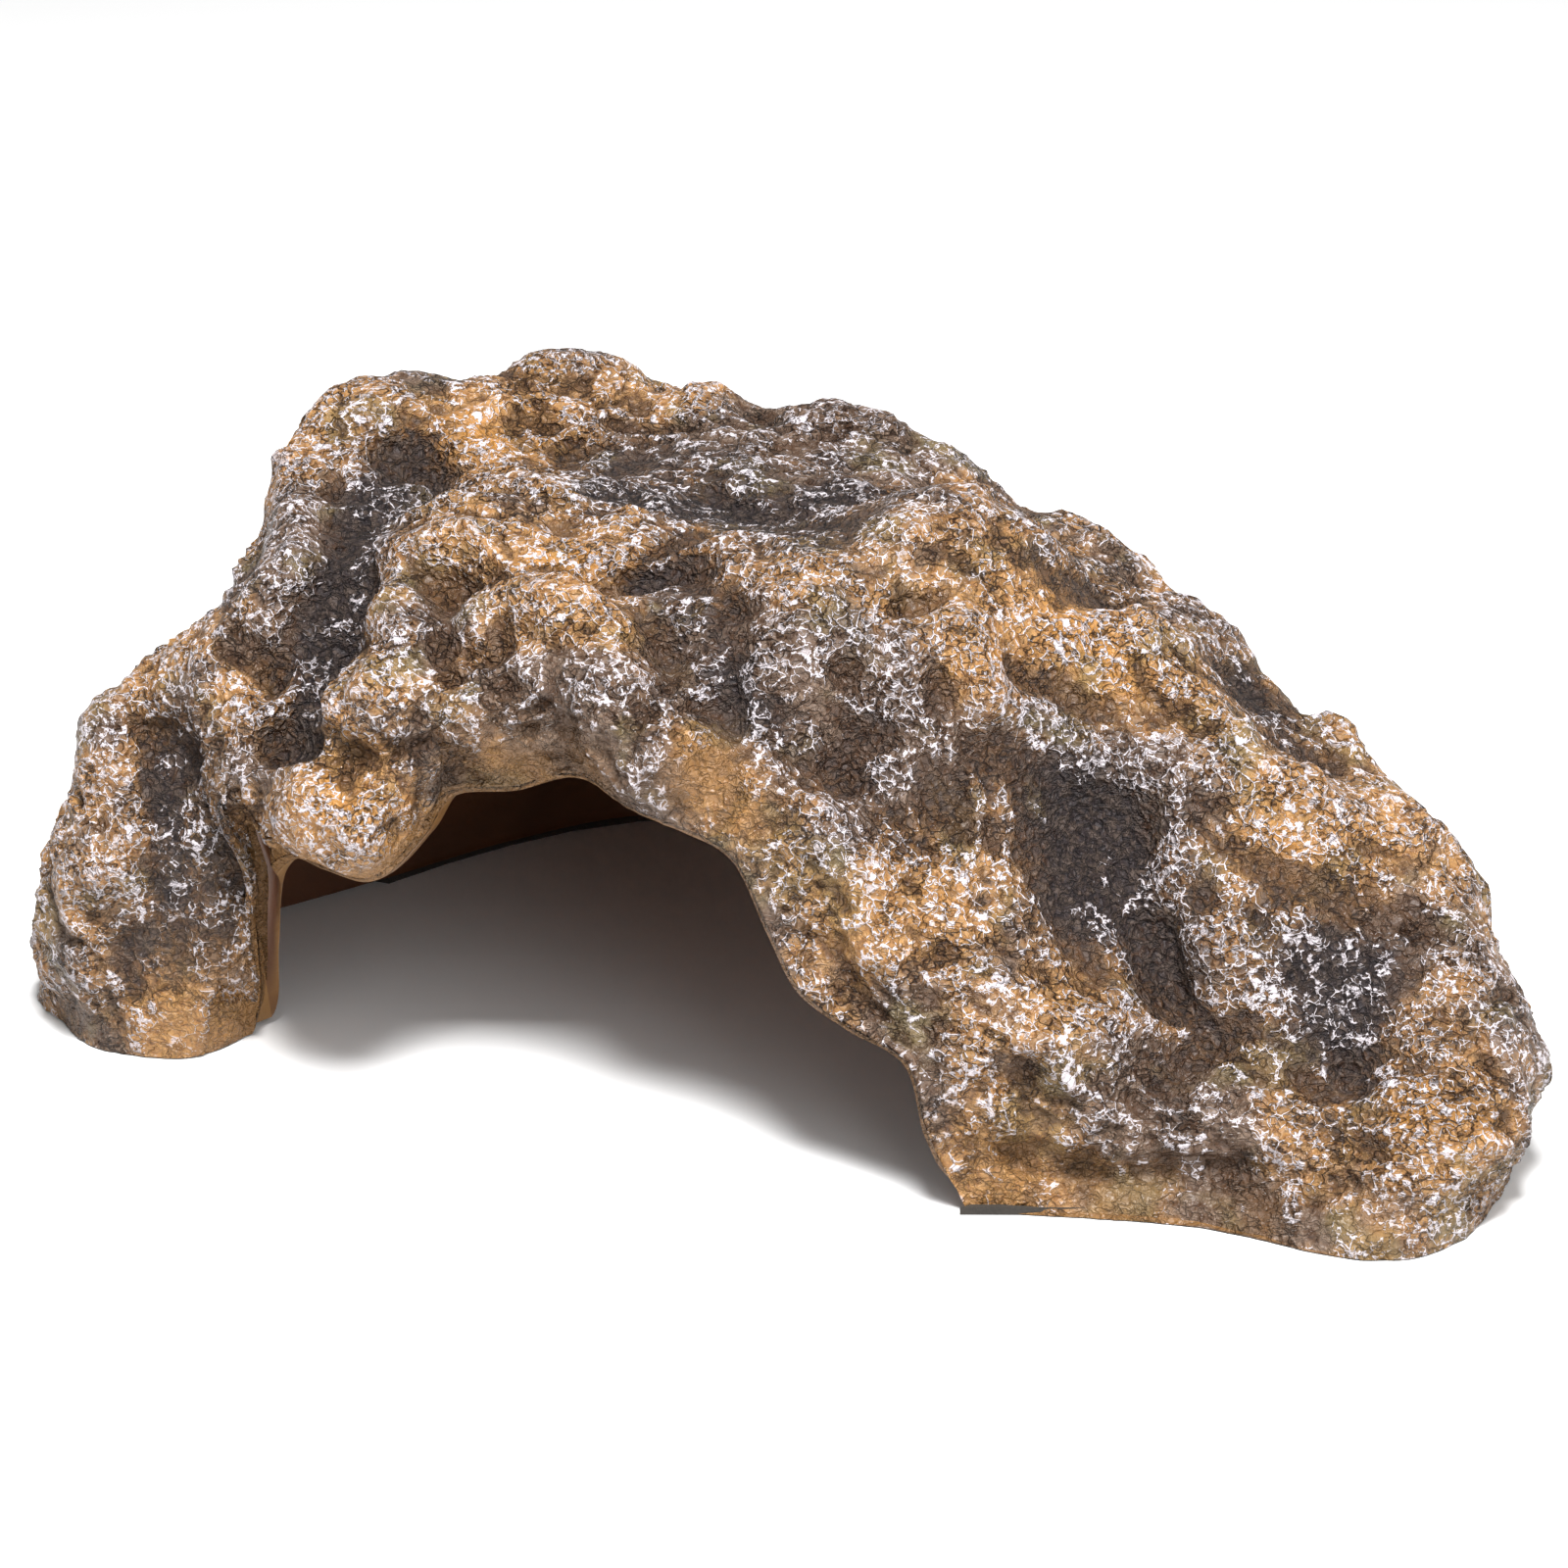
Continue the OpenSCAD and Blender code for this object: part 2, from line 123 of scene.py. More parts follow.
# Boulders, ledges and grooves: the line each follows, its spread and how far it
# stands out, negative for a groove, and how much dark wash lies in it.
RELIEF = [
    ([(-86, -14, 92), (-82, -26, 88)], 18, 10, 0),
    ([(-80, -48, 82), (-80, -58, 78)], 12, 3, 0),
    ([(-70, -12, 97), (-64, -42, 95), (-63, -60, 84), (-63, -74, 68)], 8, -9, 1.0),
    ([(-90, -76, 60), (-85, -81, 41), (-87, -81, 22)], 8, -8, 0.9),
    ([(-107, -80, 32), (-105, -81, 21)], 14, 3, 0),
    ([(-84, -69, 64), (-76, -80, 46)], 9, 3, 0),
    ([(-118, -73, 35), (-115, -68, 45)], 8, -4, 0),
    ([(-106, -63, 57), (-101, -56, 66)], 11, 7, 0),
    ([(-104, -32, 68), (-100, -30, 76)], 7, -5, 0.3),
    ([(-91, -12, 91), (-88, -5, 95)], 8, 3, 0),
    ([(-50, -82, 53), (-48, -80, 49)], 12, 4, 0),
    ([(-64, -73, 70), (-44, -74, 77), (-29, -72, 77)], 8, 5, 0),
    ([(-20, -55, 89), (-7, -66, 84), (7, -74, 73)], 11, 5, 0),
    ([(-14, -43, 94), (6, -60, 88), (17, -70, 78)], 9, -4, 0.35),
    ([(-39, 3, 94), (-18, 4, 93), (16, -21, 101)], 13, -4, 1.0),
    ([(-10, -21, 96), (9, -51, 92)], 9, -4, 0.6),
    ([(-88, 4, 98), (-77, 15, 101)], 13, 6, 0),
    ([(-68, 26, 103), (-60, 31, 102)], 10, 7, 0),
    ([(-52, 37, 101), (-40, 35, 99)], 8, 4, 0),
    ([(-37, 42, 99), (-31, 34, 97)], 6, 4, 0),
    ([(-24, 39, 95), (-11, 52, 93), (11, 48, 88)], 12, 4, 0),
    ([(-75, 16, 100), (-72, 21, 100)], 6, -6, 0.3),
    ([(-64, 29, 101), (-59, 31, 101)], 8, 3, 0),
    ([(-55, 35, 99), (-52, 38, 98)], 5, -2, 0),
    ([(-44, 39, 98), (-42, 40, 98)], 5, -4, 0.2),
    ([(-29, 36, 96), (-25, 38, 96)], 6, -5, 0.3),
    ([(-13, 43, 93), (6, 47, 88)], 9, 5, 0),
    ([(6, -44, 95), (21, -32, 100), (41, -11, 105), (51, -7, 97)], 10, 4, 0),
    ([(50, -1, 100), (60, 4, 88)], 8, -6, 0.7),
    ([(40, 42, 82), (60, 40, 74)], 10, 4, 0),
    ([(52, -5, 97), (68, -5, 79), (91, -5, 64), (120, -13, 49)], 12, 4, 0),
    ([(83, 10, 73), (101, 4, 63)], 8, -6, 0.9),
    ([(75, 25, 76), (78, 21, 74)], 8, 5, 0),
    ([(106, 15, 59), (120, 7, 54), (132, 6, 40)], 9, 6, 0),
    ([(74, -33, 60), (90, -37, 45)], 14, -8, 1.0),
    ([(114, -30, 38), (133, -37, 28)], 13, -6, 0.9),
    ([(39, -57, 72), (55, -53, 62)], 13, -4, 0.45),
    ([(28, -42, 91), (51, -33, 82), (61, -37, 70), (64, -49, 57)], 11, 5, 0),
    ([(45, -64, 61), (68, -60, 43), (86, -58, 30)], 12, 4, 0),
    ([(96, -43, 36), (105, -42, 32), (101, -50, 27)], 6, -4, 0.6),
    ([(86, -19, 59), (103, -27, 44), (119, -30, 37)], 11, 4, 0),
    ([(153, -26, 30), (156, -39, 18)], 13, 3, 0),
    ([(76, -70, 8), (107, -62, 7), (140, -53, 8)], 5, -2, 0.2),
]
LUMPS = [(26.0, 2.6, 0.0), (13.0, 1.7, 40.0)]

# Ridged wrinkles, big to tiny: size and seed. Then the facets between them, and
# the slower noise that bends them, with how far it does.
RIDGES = [(17.0, 0.3), (9.0, 11.9), (5.2, 23.4), (3.0, 41.2)]
FACET_SIZE, FACET_SEED = 8, 52.0
BEND_SIZE, BEND_SEEDS, BEND_REACH = 15, (3.1, 17.7, 31.3), 4.5

# Folds, steps and cracks of the rock between the boulders: the line each follows,
# its spread and how far it stands out.
FOLDS = [
    # groove of the left foot
    ([(-97, -71, 60), (-92, -74, 52), (-88, -78, 39), (-89, -79, 26),
      (-94, -83, 17)], 5, -4),
    ([(-86, -76, 44), (-85, -76, 29), (-83, -75, 14)], 6, 2),
    ([(-104, -72, 60), (-99, -80, 47), (-102, -84, 37)], 7, 2),
    ([(-71, -59, 82), (-72, -65, 74)], 4.5, -4),
    ([(-90, -63, 74), (-79, -69, 71), (-72, -77, 61)], 6, 2),
    ([(-78, -72, 34), (-70, -81, 52), (-69, -75, 62)], 5, -3),
    # under the ledge over the lobe
    ([(-67, -73, 64), (-45, -84, 67), (-34, -78, 70)], 4, -2.5),
    ([(-53, -86, 55), (-43, -85, 52)], 9, 3),
    # left boulder
    ([(-84, -26, 98), (-73, -42, 91), (-68, -54, 84)], 5, -2.5),
    ([(-93, -24, 98), (-80, -44, 91), (-75, -58, 85)], 6, 2),
    ([(-76, -13, 98), (-70, -9, 93)], 5, -4.5),
    ([(-70, -16, 91), (-54, -50, 89), (-45, -68, 83), (-45, -78, 79)], 5, 3.5),
    # steps of the roof
    ([(-71, -11, 92), (-56, -12, 96), (-39, -21, 99), (-23, -26, 97)], 4.5, 2.5),
    ([(-54, -39, 98), (-41, -39, 99), (-31, -34, 98)], 4, -1.8),
    ([(-59, -42, 90), (-48, -45, 96), (-36, -40, 99), (-21, -38, 96),
      (-12, -35, 95)], 5, 2.5),
    ([(-44, -53, 91), (-28, -55, 95), (-17, -46, 94), (-11, -39, 93)], 4.5, -3),
    ([(-35, -60, 88), (-26, -58, 94), (-15, -56, 94), (-7, -57, 90),
      (1, -65, 85)], 6, 3.5),
    ([(-42, -52, 92), (-37, -62, 86), (-35, -72, 83)], 4, -3.5),
    ([(-27, -63, 89), (-29, -71, 83)], 4, -2.5),
    ([(-49, -55, 89), (-43, -65, 85), (-35, -75, 82)], 4.5, 2),
    ([(-53, 19, 98), (-43, 14, 95), (-42, 5, 94)], 5.5, 3),
    ([(-10, -37, 94), (-2, -36, 95), (9, -46, 94)], 5, -3.5),
    # right of the prow
    ([(12, -44, 97), (15, -54, 87), (20, -60, 80)], 5, -2.5),
    # bare knobs
    ([(13, -67, 78), (16, -66, 77)], 4, 2.2),
    ([(23, -64, 75), (26, -64, 73)], 4.5, 2.5),
    # ramp
    ([(38, -64, 67), (48, -66, 57), (53, -70, 43)], 5, 3),
    ([(51, -34, 91), (54, -37, 86), (58, -38, 81)], 5, 3.5),
    ([(51, -40, 84), (57, -41, 77), (66, -35, 68)], 6, -3.5),
    ([(60, -27, 83), (66, -22, 79), (71, -21, 74)], 3.5, -3.5),
    ([(64, -28, 76), (74, -23, 68), (88, -21, 65), (97, -15, 65),
      (108, -9, 62)], 5, 2.5),
    ([(90, -34, 40), (94, -38, 33), (101, -43, 29)], 4, -4),
    ([(100, -35, 38), (102, -38, 33)], 7, 3.5),
    ([(104, -32, 42), (110, -32, 36), (115, -37, 28)], 5, 1.8),
    ([(138, -35, 24), (145, -47, 15), (141, -55, 5)], 7, 2.5),
    ([(101, -49, 23), (101, -58, 16), (110, -56, 11)], 6, -2.5),
    ([(89, -63, 12), (105, -58, 11), (115, -51, 14), (126, -50, 12)], 4.5, 2.2),
    ([(81, -67, 8), (97, -61, 5), (113, -55, 6)], 5, -2.2),
    ([(66, -73, 31), (73, -71, 27), (79, -68, 23)], 5, -2.2),
    ([(70, -69, 34), (85, -64, 28), (90, -57, 31)], 5, 1.8),
    ([(51, -12, 104), (60, -6, 94), (67, 7, 86)], 5, -4),
    ([(70, -1, 86), (87, -5, 73), (100, -9, 65)], 5, 2.5),
    ([(40, -34, 95), (44, -31, 95)], 3, -2.8),
    ([(71, -38, 55), (76, -27, 60), (84, -28, 56)], 6, -2.5),
    ([(58, -45, 70), (65, -49, 58), (66, -57, 51)], 5, -2),
    ([(36, -47, 85), (40, -51, 75), (41, -55, 69)], 5, -2),
    ([(44, -42, 87), (48, -46, 76), (46, -52, 70)], 5, 2),
    ([(27, -71, 60), (35, -72, 49), (41, -73, 39)], 6, 2),
    ([(107, -22, 54), (119, -21, 47), (130, -17, 43)], 5, -2),
    ([(126, 0, 54), (137, -7, 44), (144, -17, 37)], 6, 2.5),
]

# Where the ground paint is more ochre, or more taupe where negative: middle,
# spread and how much.
WARM_SPOTS = [
    ((-64, -1, 98), 11, 0.35), ((-21, -46, 95), 11, 0.4), ((-47, -41, 99), 8, 0.25),
    ((-7, -57, 89), 8, 0.45), ((20, -41, 100), 11, 0.35), ((-46, -86, 62), 10, 0.3),
    ((-76, -78, 43), 4, 0.2), ((59, -16, 89), 16, 0.4), ((74, -11, 80), 12, 0.3),
    ((47, -69, 50), 9, 0.4), ((61, -62, 51), 8, 0.35), ((105, -19, 59), 9, 0.3),
    ((114, -19, 53), 7, 0.35), ((144, -40, 21), 12, 0.3), ((54, -36, 86), 6, 0.5),
    ((-87, -80, 10), 9, 0.35), ((81, -59, 37), 8, 0.2), ((157, -37, 17), 6, 0.35),
    ((-77, -71, 69), 10, 0.15), ((14, -68, 77), 5, 0.4), ((76, -69, 6), 9, 0.1),
    ((-75, -4, 102), 11, 0.25), ((126, -49, 12), 9, 0.2), ((-12, -71, 81), 14, -0.3),
    ((19, -55, 86), 19, -0.45), ((47, -48, 74), 13, -0.4), ((100, -56, 19), 11, -0.4),
    ((116, -57, 4), 9, -0.35), ((-5, 36, 96), 21, -0.4), ((-40, -60, 88), 10, -0.35),
    ((4, -73, 66), 10, -0.4), ((35, -73, 45), 9, -0.35), ((81, -21, 67), 9, -0.25),
    ((133, -19, 40), 8, -0.35), ((-99, -83, 39), 11, -0.15), ((-78, -44, 91), 18, -0.25),
    ((64, -31, 76), 8, -0.3), ((65, -76, 24), 7, -0.3), ((77, 19, 80), 8, -0.25),
    ((136, 3, 45), 9, -0.1), ((127, -31, 28), 9, -0.3), ((43, -65, 63), 8, -0.25),
]

# Where the dark wash lies thick, in the same form.
DARK_SPOTS = [
    ((-76, -8, 97), 8, 0.9), ((-73, -22, 94), 8, 1), ((-71, -32, 90), 8, 1),
    ((-66, -46, 87), 7, 1), ((-66, -51, 81), 7, 1), ((-66, -57, 76), 7, 1),
    ((-64, -63, 71), 6, 1), ((-63, -69, 67), 5, 1), ((-93, -73, 52), 5, 0.8),
    ((-90, -75, 46), 5, 0.9), ((-88, -77, 39), 5, 0.9), ((-88, -78, 31), 5, 0.9),
    ((-93, -81, 21), 5, 0.8), ((-96, -82, 13), 4, 0.6), ((-31, -15, 99), 8, 0.8),
    ((-25, -11, 97), 9, 0.9), ((-17, -7, 95), 9, 0.9), ((-10, -1, 92), 10, 1),
    ((6, -13, 96), 8, 0.8), ((6, 5, 94), 9, 0.9), ((7, 15, 96), 8, 0.9),
    ((-4, -32, 94), 6, 0.7), ((-10, -36, 90), 5, 0.8), ((-3, 28, 96), 6, 0.5),
    ((16, -54, 84), 6, 0.8), ((21, -58, 79), 6, 0.7), ((28, -57, 78), 5, 0.5),
    ((39, -40, 92), 5, 0.4), ((69, -29, 67), 7, 0.7), ((74, -27, 58), 9, 1),
    ((80, -32, 51), 9, 1), ((84, -33, 45), 8, 0.9), ((75, -38, 49), 8, 0.7),
    ((82, -41, 42), 7, 0.7), ((87, 14, 70), 6, 0.9), ((94, 8, 68), 6, 0.9),
    ((118, -28, 37), 7, 0.8), ((122, -31, 33), 7, 1), ((127, -32, 28), 7, 1),
    ((116, -27, 41), 6, 0.6), ((128, -24, 37), 7, 0.8), ((94, -37, 31), 5, 0.6),
    ((103, -40, 28), 5, 0.6), ((28, -10, 106), 6, 0.6), ((56, -4, 100), 8, 0.6),
    ((133, -12, 45), 5, 0.4), ((63, -24, 81), 3, 0.5), ((103, -55, 19), 5, 0.4),
    ((67, -46, 58), 5, 0.5), ((73, -48, 48), 6, 0.4), ((44, -54, 68), 8, 0.45),
]

# Line through the cave that the wall stands out from, and how its outward
# direction turns upward above a height that falls to the floor at the ramp.
SPINE = np.array([[-40.0, 10.0], [115.0, -15.0]])
TURN_HEIGHT = 30.0
TURN_FALL = (20.0, 120.0)
TURN_RATE = 1.5

# Share of the relief and of the lumps that each face of the wall follows.
BOND_FACE = (0.85, 0.7)
LINING_FACE = (0.6, 0.2)
COAT_SHARE = 0.4
LIP_THICKNESS = 6.0
WALL_THICKNESS = 8.0
LIP_ROUNDING = 1.9
LINING_SKIN = 1.2
COAT_LEAST = 1.6

# Where and how far the coat swells over the left foot's mouth corner.
CORNER = (-84.0, -74.0, 6.0)
CORNER_SWELL = np.array([3.4, -1.6, 0.0])
CORNER_SPREAD = 15.0

# Heights from which the top of the rock is pressed down, and by how much at most.
TOP_SOFT_FROM = 100.0
TOP_SOFT = 12.0
# Points along each side of the lining and of the hidden back of both layers,
# the rings over their edges, and where the back starts.
BACK_COUNT = 61
LINING_COUNT = 3 * (BACK_COUNT - 1) + 1
COAT_EDGE_RINGS = 4
LIP_RINGS = 6
BACK_START = 0.03
# How far the outer bottom edge hangs down beside the pads that are set in from it,
# and the height of the form below which it does.
SOLE_DROP = 1.2
SOLE_HEIGHT = 3.0
# Smoothing passes for the surroundings that a crest stands out of, near and wide.
NEAR_PASSES, WIDE_PASSES = 6, 60

# Smooth unpainted places: middle, spread and amount. They are the band under
# the lintel, the patch right of the prow and the bands under both feet.
BARE_SPOTS = [
    ((-20, -69, 66), 8, 0.8), ((-4, -69, 68), 7, 0.7), ((19, -72, 72), 7, 0.9),
    ((27, -71, 66), 5, 0.6), ((-86, -82, 5), 7, 0.5), ((-80, -78, 14), 8, 0.6),
    ((96, -68, 4), 8, 0.6), ((120, -62, 4), 7, 0.35), ((144, -56, 4), 6, 0.3),
    ((80, -72, 6), 8, 0.6),
]

# Glow of light through the resin under the top of the arch.
GLOW_MIDDLE = (-6.0, -45.0, 70.0)
GLOW_SPREAD = 30.0

# Small features on the rock: middle, spread and depth, negative stands out.
PITS = [
    ((115, 1, 64.5), 3.2, 5.0),
    ((108, 2, 66), 2.0, 2.0),
    ((156.5, -38, 22), 2.2, 2.6),
    ((157.5, -35, 17), 1.8, 2.2),
    ((153, -44, 19), 1.6, 2.0),
    ((157, -33, 25), 1.5, 1.8),
    ((151, -47, 13), 1.5, 1.6),
    ((-95, -85, 11), 2.6, 1.6),
    ((-87, -84, 13), 2.4, 1.5),
    ((-100, -86, 17), 1.6, 1.0),
    ((96, -66, 6), 1.5, 1.0),
    ((110, -63, 6), 1.3, 0.9),
    ((-119, -63, 46), 2.6, -4.0),
]


def smooth(low, high, x):
    """0 below low, 1 above high, and 3 t squared - 2 t cubed between them."""
    t = np.clip((x - low) / (high - low), 0.0, 1.0)
    return t * t * (3.0 - 2.0 * t)


def fade(p, middle, spread):
    """exp(-(distance from the middle / spread) squared)."""
    gap = np.linalg.norm(p - np.array(middle, float), axis=-1)
    return np.exp(-(gap / spread) ** 2)


def spline(a, b, c, d, t):
    """Cubic that passes through b and c, with half of c - a and d - b as slopes."""
    t = t[..., None]
    return 0.5 * (2 * b + (c - a) * t + (2 * a - 5 * b + 4 * c - d) * t * t
                  + (3 * b - a - 3 * c + d) * t ** 3)


def net_rows():
    """Rows of the net at each station: edge, flank, brow, half-way ring, middle."""
    edge, flank, brow = (STATIONS[:, k] for k in range(3))
    halfway = (brow + ROOF_MIDDLE) / 2
    halfway[:, 2] = BROW_CARRY * brow[:, 2] + (1 - BROW_CARRY) * ROOF_MIDDLE[2]
    middle = np.broadcast_to(ROOF_MIDDLE, edge.shape)
    return np.stack([2 * edge - flank, edge, flank, brow, halfway, middle,
                     2 * middle - halfway], axis=1)


NET = net_rows()


def form(u, s):
    """Form before relief: a spline net, u counting stations and s from 0 at the
    edge to 1 at the roof's middle."""
    u = np.asarray(u, float) % STATION_COUNT
    s = np.clip(s, 0.0, 1.0)
    column = np.floor(u).astype(int)
    row = np.minimum(np.floor(4 * s).astype(int), 3)
    across, up = u - column, 4 * s - row
    columns = [spline(*(NET[(column + i) % STATION_COUNT, row + 1 + j]
                        for j in (-1, 0, 1, 2)), up) for i in (-1, 0, 1, 2)]
    return spline(*columns, across)


def to_line(p, line):
    """Distance from each point to the nearest segment of a line."""
    nearest = None
    for a, b in zip(line[:-1], line[1:]):
        a, along = np.array(a, float), np.subtract(b, a).astype(float)
        t = np.clip((p - a) @ along / (along @ along), 0.0, 1.0)
        gap = np.linalg.norm(p - a - t[..., None] * along, axis=-1)
        nearest = gap if nearest is None else np.minimum(nearest, gap)
    return nearest


def relief_and_wash(p):
    """Sum of the relief, each height * exp(-(distance / spread) squared), and the
    dark wash that lies in the grooves, spread a third wider."""
    height = np.zeros(p.shape[:-1])
    wash = np.zeros(p.shape[:-1])
    for line, spread, rise, dark in RELIEF:
        gap = to_line(p, line)
        height += rise * np.exp(-(gap / spread) ** 2)
        if dark:
            wash = np.maximum(wash, dark * np.exp(-(gap / (1.3 * spread)) ** 2))
    return height, wash


def folds(p):
    """Sum of the folds, each height * exp(-(distance / spread) squared)."""
    return sum(rise * np.exp(-(to_line(p, line) / spread) ** 2)
               for line, spread, rise in FOLDS)


def painted(p, spots, start=0.0):
    """Start plus each spot's amount * exp(-(distance / spread) squared)."""
    return start + sum(
        amount * np.exp(-np.sum((p - np.array(middle, float)) ** 2, -1) / spread ** 2)
        for middle, spread, amount in spots)


def cell_corners(w):
    """Each corner of a cell and its share of a point, from the weights w."""
    for corner in np.ndindex(2, 2, 2):
        share = 1.0
        for axis, far in enumerate(corner):
            share = share * (w[..., axis] if far else 1 - w[..., axis])
        yield corner, share


def corner_value(x, y, z):
    """Repeatable number from 0 to 1 for each lattice corner."""
    v = np.sin(np.radians(x * 127.1 + y * 311.7 + z * 74.7)) * 43758.5453
    return v - np.floor(v)


def lattice(p):
    """Value noise from -1 to 1: corner numbers blended smoothly over each cell."""
    cell = np.floor(p)
    w = smooth(0.0, 1.0, p - cell)
    total = 0.0
    for corner, share in cell_corners(w):
        total = total + share * corner_value(*np.moveaxis(cell + corner, -1, 0))
    return 2.0 * total - 1.0


def grain(p, seed=0.0):
    """Gradient noise of about -1 to 1: at each lattice corner a random slope,
    blended with fifth-degree weights."""
    p = p + seed
    cell = np.floor(p)
    f = p - cell
    w = f * f * f * (f * (f * 6 - 15) + 10)
    total = 0.0
    for corner, share in cell_corners(w):
        x, y, z = np.moveaxis(cell + corner, -1, 0)
        base = x * 15.73 + y * 57.31 + z * 113.9
        slope = 0.0
        for axis, turn in enumerate((1.0, 2.17, 3.41)):
            v = np.sin(base * turn + 1.7 * axis) * 43758.5453
            slope = slope + (2 * (v - np.floor(v)) - 1) * (f[..., axis] - corner[axis])
        total = total + share * slope
    return 1.6 * total


def ridges(p, size, seed):
    """Sharp crests with round valleys: 1 - 2 * |gradient noise|."""
    return 1.0 - 2.0 * np.abs(grain(p / size, seed))


def outward(p, s):
    """Direction out of the wall: away from the spine in plan, plus a rise that
    grows with the height above the turn."""
    along = SPINE[1] - SPINE[0]
    t = np.clip((p[..., :2] - SPINE[0]) @ along / (along @ along), 0.0, 1.0)
    side = p[..., :2] - SPINE[0] - t[..., None] * along
    fall = np.clip((p[..., 0] - TURN_FALL[0]) / (TURN_FALL[1] - TURN_FALL[0]), 0, 1)
    rise = (TURN_RATE * np.maximum(p[..., 2] - TURN_HEIGHT * (1 - fall), 0)
            * smooth(0, 0.12, s))
    d = np.concatenate([side, rise[..., None]], axis=-1)
    return d / np.linalg.norm(d, axis=-1, keepdims=True)


def to_frame(p):
    """Drawn millimetres to the CAD frame's metres, fitted to the rock coat's box."""
    low, high = (np.array(c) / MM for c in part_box("rock_coat"))
    scale = (high - low) / (DRAWN_BOX[1] - DRAWN_BOX[0])
    lifted = p - DRAWN_MIDDLE + np.array([0, 0, DRAWN_BOX[0][2]])
    return (low + (lifted - DRAWN_BOX[0]) * scale) * MM


def wall_parts(u, s):
    """Form, outward direction, relief and lumps at full share, dark wash and
    thickness of the wall at each (u, s)."""
    p = form(u, s)
    relief, wash = relief_and_wash(p)
    lumps = sum(rise * lattice((p + shift) / size) for size, rise, shift in LUMPS)
    edge = 0.35 + 0.65 * smooth(0, 0.06, s)
    thick = LIP_THICKNESS + (WALL_THICKNESS - LIP_THICKNESS) * smooth(0, 0.15, s)
    return p, outward(p, s), edge * relief, edge * lumps, wash, thick


def on_wall(p, d, amount):
    """Points moved along the outward direction and kept above the floor."""
    q = p + d * amount[..., None]
    q[..., 2] = np.maximum(q[..., 2], 0.0)
    return q


def lining_depth(relief, lumps, thick):
    """Amount of the lining's inner face."""
    return LINING_FACE[0] * relief + LINING_FACE[1] * lumps - thick


def bond_depth(relief, lumps, thick, s):
    """Amount of the face between coat and lining: a fixed share of the wall at
    the edge, sinking to just over the lining's inner face further in."""
    at_edge = BOND_FACE[0] * relief + BOND_FACE[1] * lumps - COAT_SHARE * thick
    within = lining_depth(relief, lumps, thick) + LINING_SKIN
    t = smooth(0.0, 0.04, s)
    return at_edge * (1 - t) + within * t


def bond_face(u, s):
    """Points of the face between coat and lining."""
    p, d, relief, lumps, _, thick = wall_parts(u, s)
    return on_wall(p, d, bond_depth(relief, lumps, thick, s))


def wrinkles(p, amount, fine):
    """Height of the rock's own texture in millimetres, and the ribs of its small
    ridges. Lumpy facets, ridged wrinkles of four sizes bent by a slower noise,
    and strata that run along the roof."""
    bend = np.stack([grain(p / BEND_SIZE, seed) for seed in BEND_SEEDS], axis=-1)
    q = p + BEND_REACH * bend
    roof = smooth(84, 96, p[..., 2]) * (1 - smooth(10, 40, p[..., 0]))
    ramp = smooth(20, 60, p[..., 0])
    strata = q * np.array([0.45, 1.0, 1.5])
    slant = np.stack([(q[..., 0] * 0.8 - q[..., 2] * 0.6) * 0.6,
                      q[..., 1], q[..., 0] * 0.6 + q[..., 2] * 0.8], axis=-1)

    def field(size, seed):
        """Ridges along the strata on the roof and along the slope on the ramp."""
        plain = ridges(q, size, seed)
        laid = ridges(strata, size, seed + 5.0)
        sloped = ridges(slant, size, seed + 9.0)
        side = plain * (1 - ramp) + sloped * ramp
        return side * (1 - roof) + laid * roof

    big, middle, small, tiny = (field(*ridge) for ridge in RIDGES)
    lumpy = grain(p / FACET_SIZE, FACET_SEED)
    height = (1.6 * big + 1.3 * middle * (0.6 + 0.4 * big)
              + 0.85 * small + 0.6 * tiny + 0.5 * lumpy - 1.9)
    return amount * height * fine, np.maximum(small, tiny)


def bare_patches(p):
    """Largest of the bare spots at each point."""
    return np.max([amount * fade(p, middle, spread)
                   for middle, spread, amount in BARE_SPOTS], axis=0)


def bare_lip(p, s):
    """The unpainted strip along the edge of the mouth, wide on the left foot's
    inner side and under the lobe and narrow along the rest of the arch."""
    x = p[..., 0]
    mouth = smooth(-35.0, -60.0, p[..., 1]) * smooth(15.0, -15.0, x)
    mouth = mouth * smooth(-100.0, -86.0, x)
    left = smooth(-30.0, -42.0, x) * smooth(-90.0, -80.0, x)
    width = 0.012 + 0.04 * left
    return mouth * (0.6 + 0.4 * left) * (1 - smooth(0.2 * width, 1.4 * width, s))


# ------------------------------------------------------------ grids and meshes


def square_on_disc(count):
    """Square grid pressed onto a disc, x sqrt(1 - y^2/2) and y sqrt(1 - x^2/2),
    read as (u, s): the angle counts stations and s is 1 at the middle."""
    line = np.linspace(-1.0, 1.0, count)
    a, b = np.meshgrid(line, line, indexing="ij")
    x, y = a * np.sqrt(1 - b * b / 2), b * np.sqrt(1 - a * a / 2)
    radius = np.minimum(np.hypot(x, y), 1.0)
    angle = np.arctan2(y, x) / (2 * math.pi) % 1.0
    return even_columns(angle), 1.0 - radius


def even_columns(turn):
    """Stations for an even share of the way round, measured along the edge,
    flank and brow together."""
    steps = sum(np.linalg.norm(np.roll(STATIONS[:, k], -1, 0) - STATIONS[:, k], axis=1)
                for k in range(3))
    way = np.concatenate([[0.0], np.cumsum(steps)])
    return np.interp(turn, way / way[-1], np.arange(STATION_COUNT + 1))


def grid_faces(index, flip=False):
    """Quads between neighbours of a two-way array of point numbers."""
    a, b, c, d = index[:-1, :-1], index[1:, :-1], index[1:, 1:], index[:-1, 1:]
    order = (a, d, c, b) if flip else (a, b, c, d)
    return np.stack([x.ravel() for x in order], axis=-1)


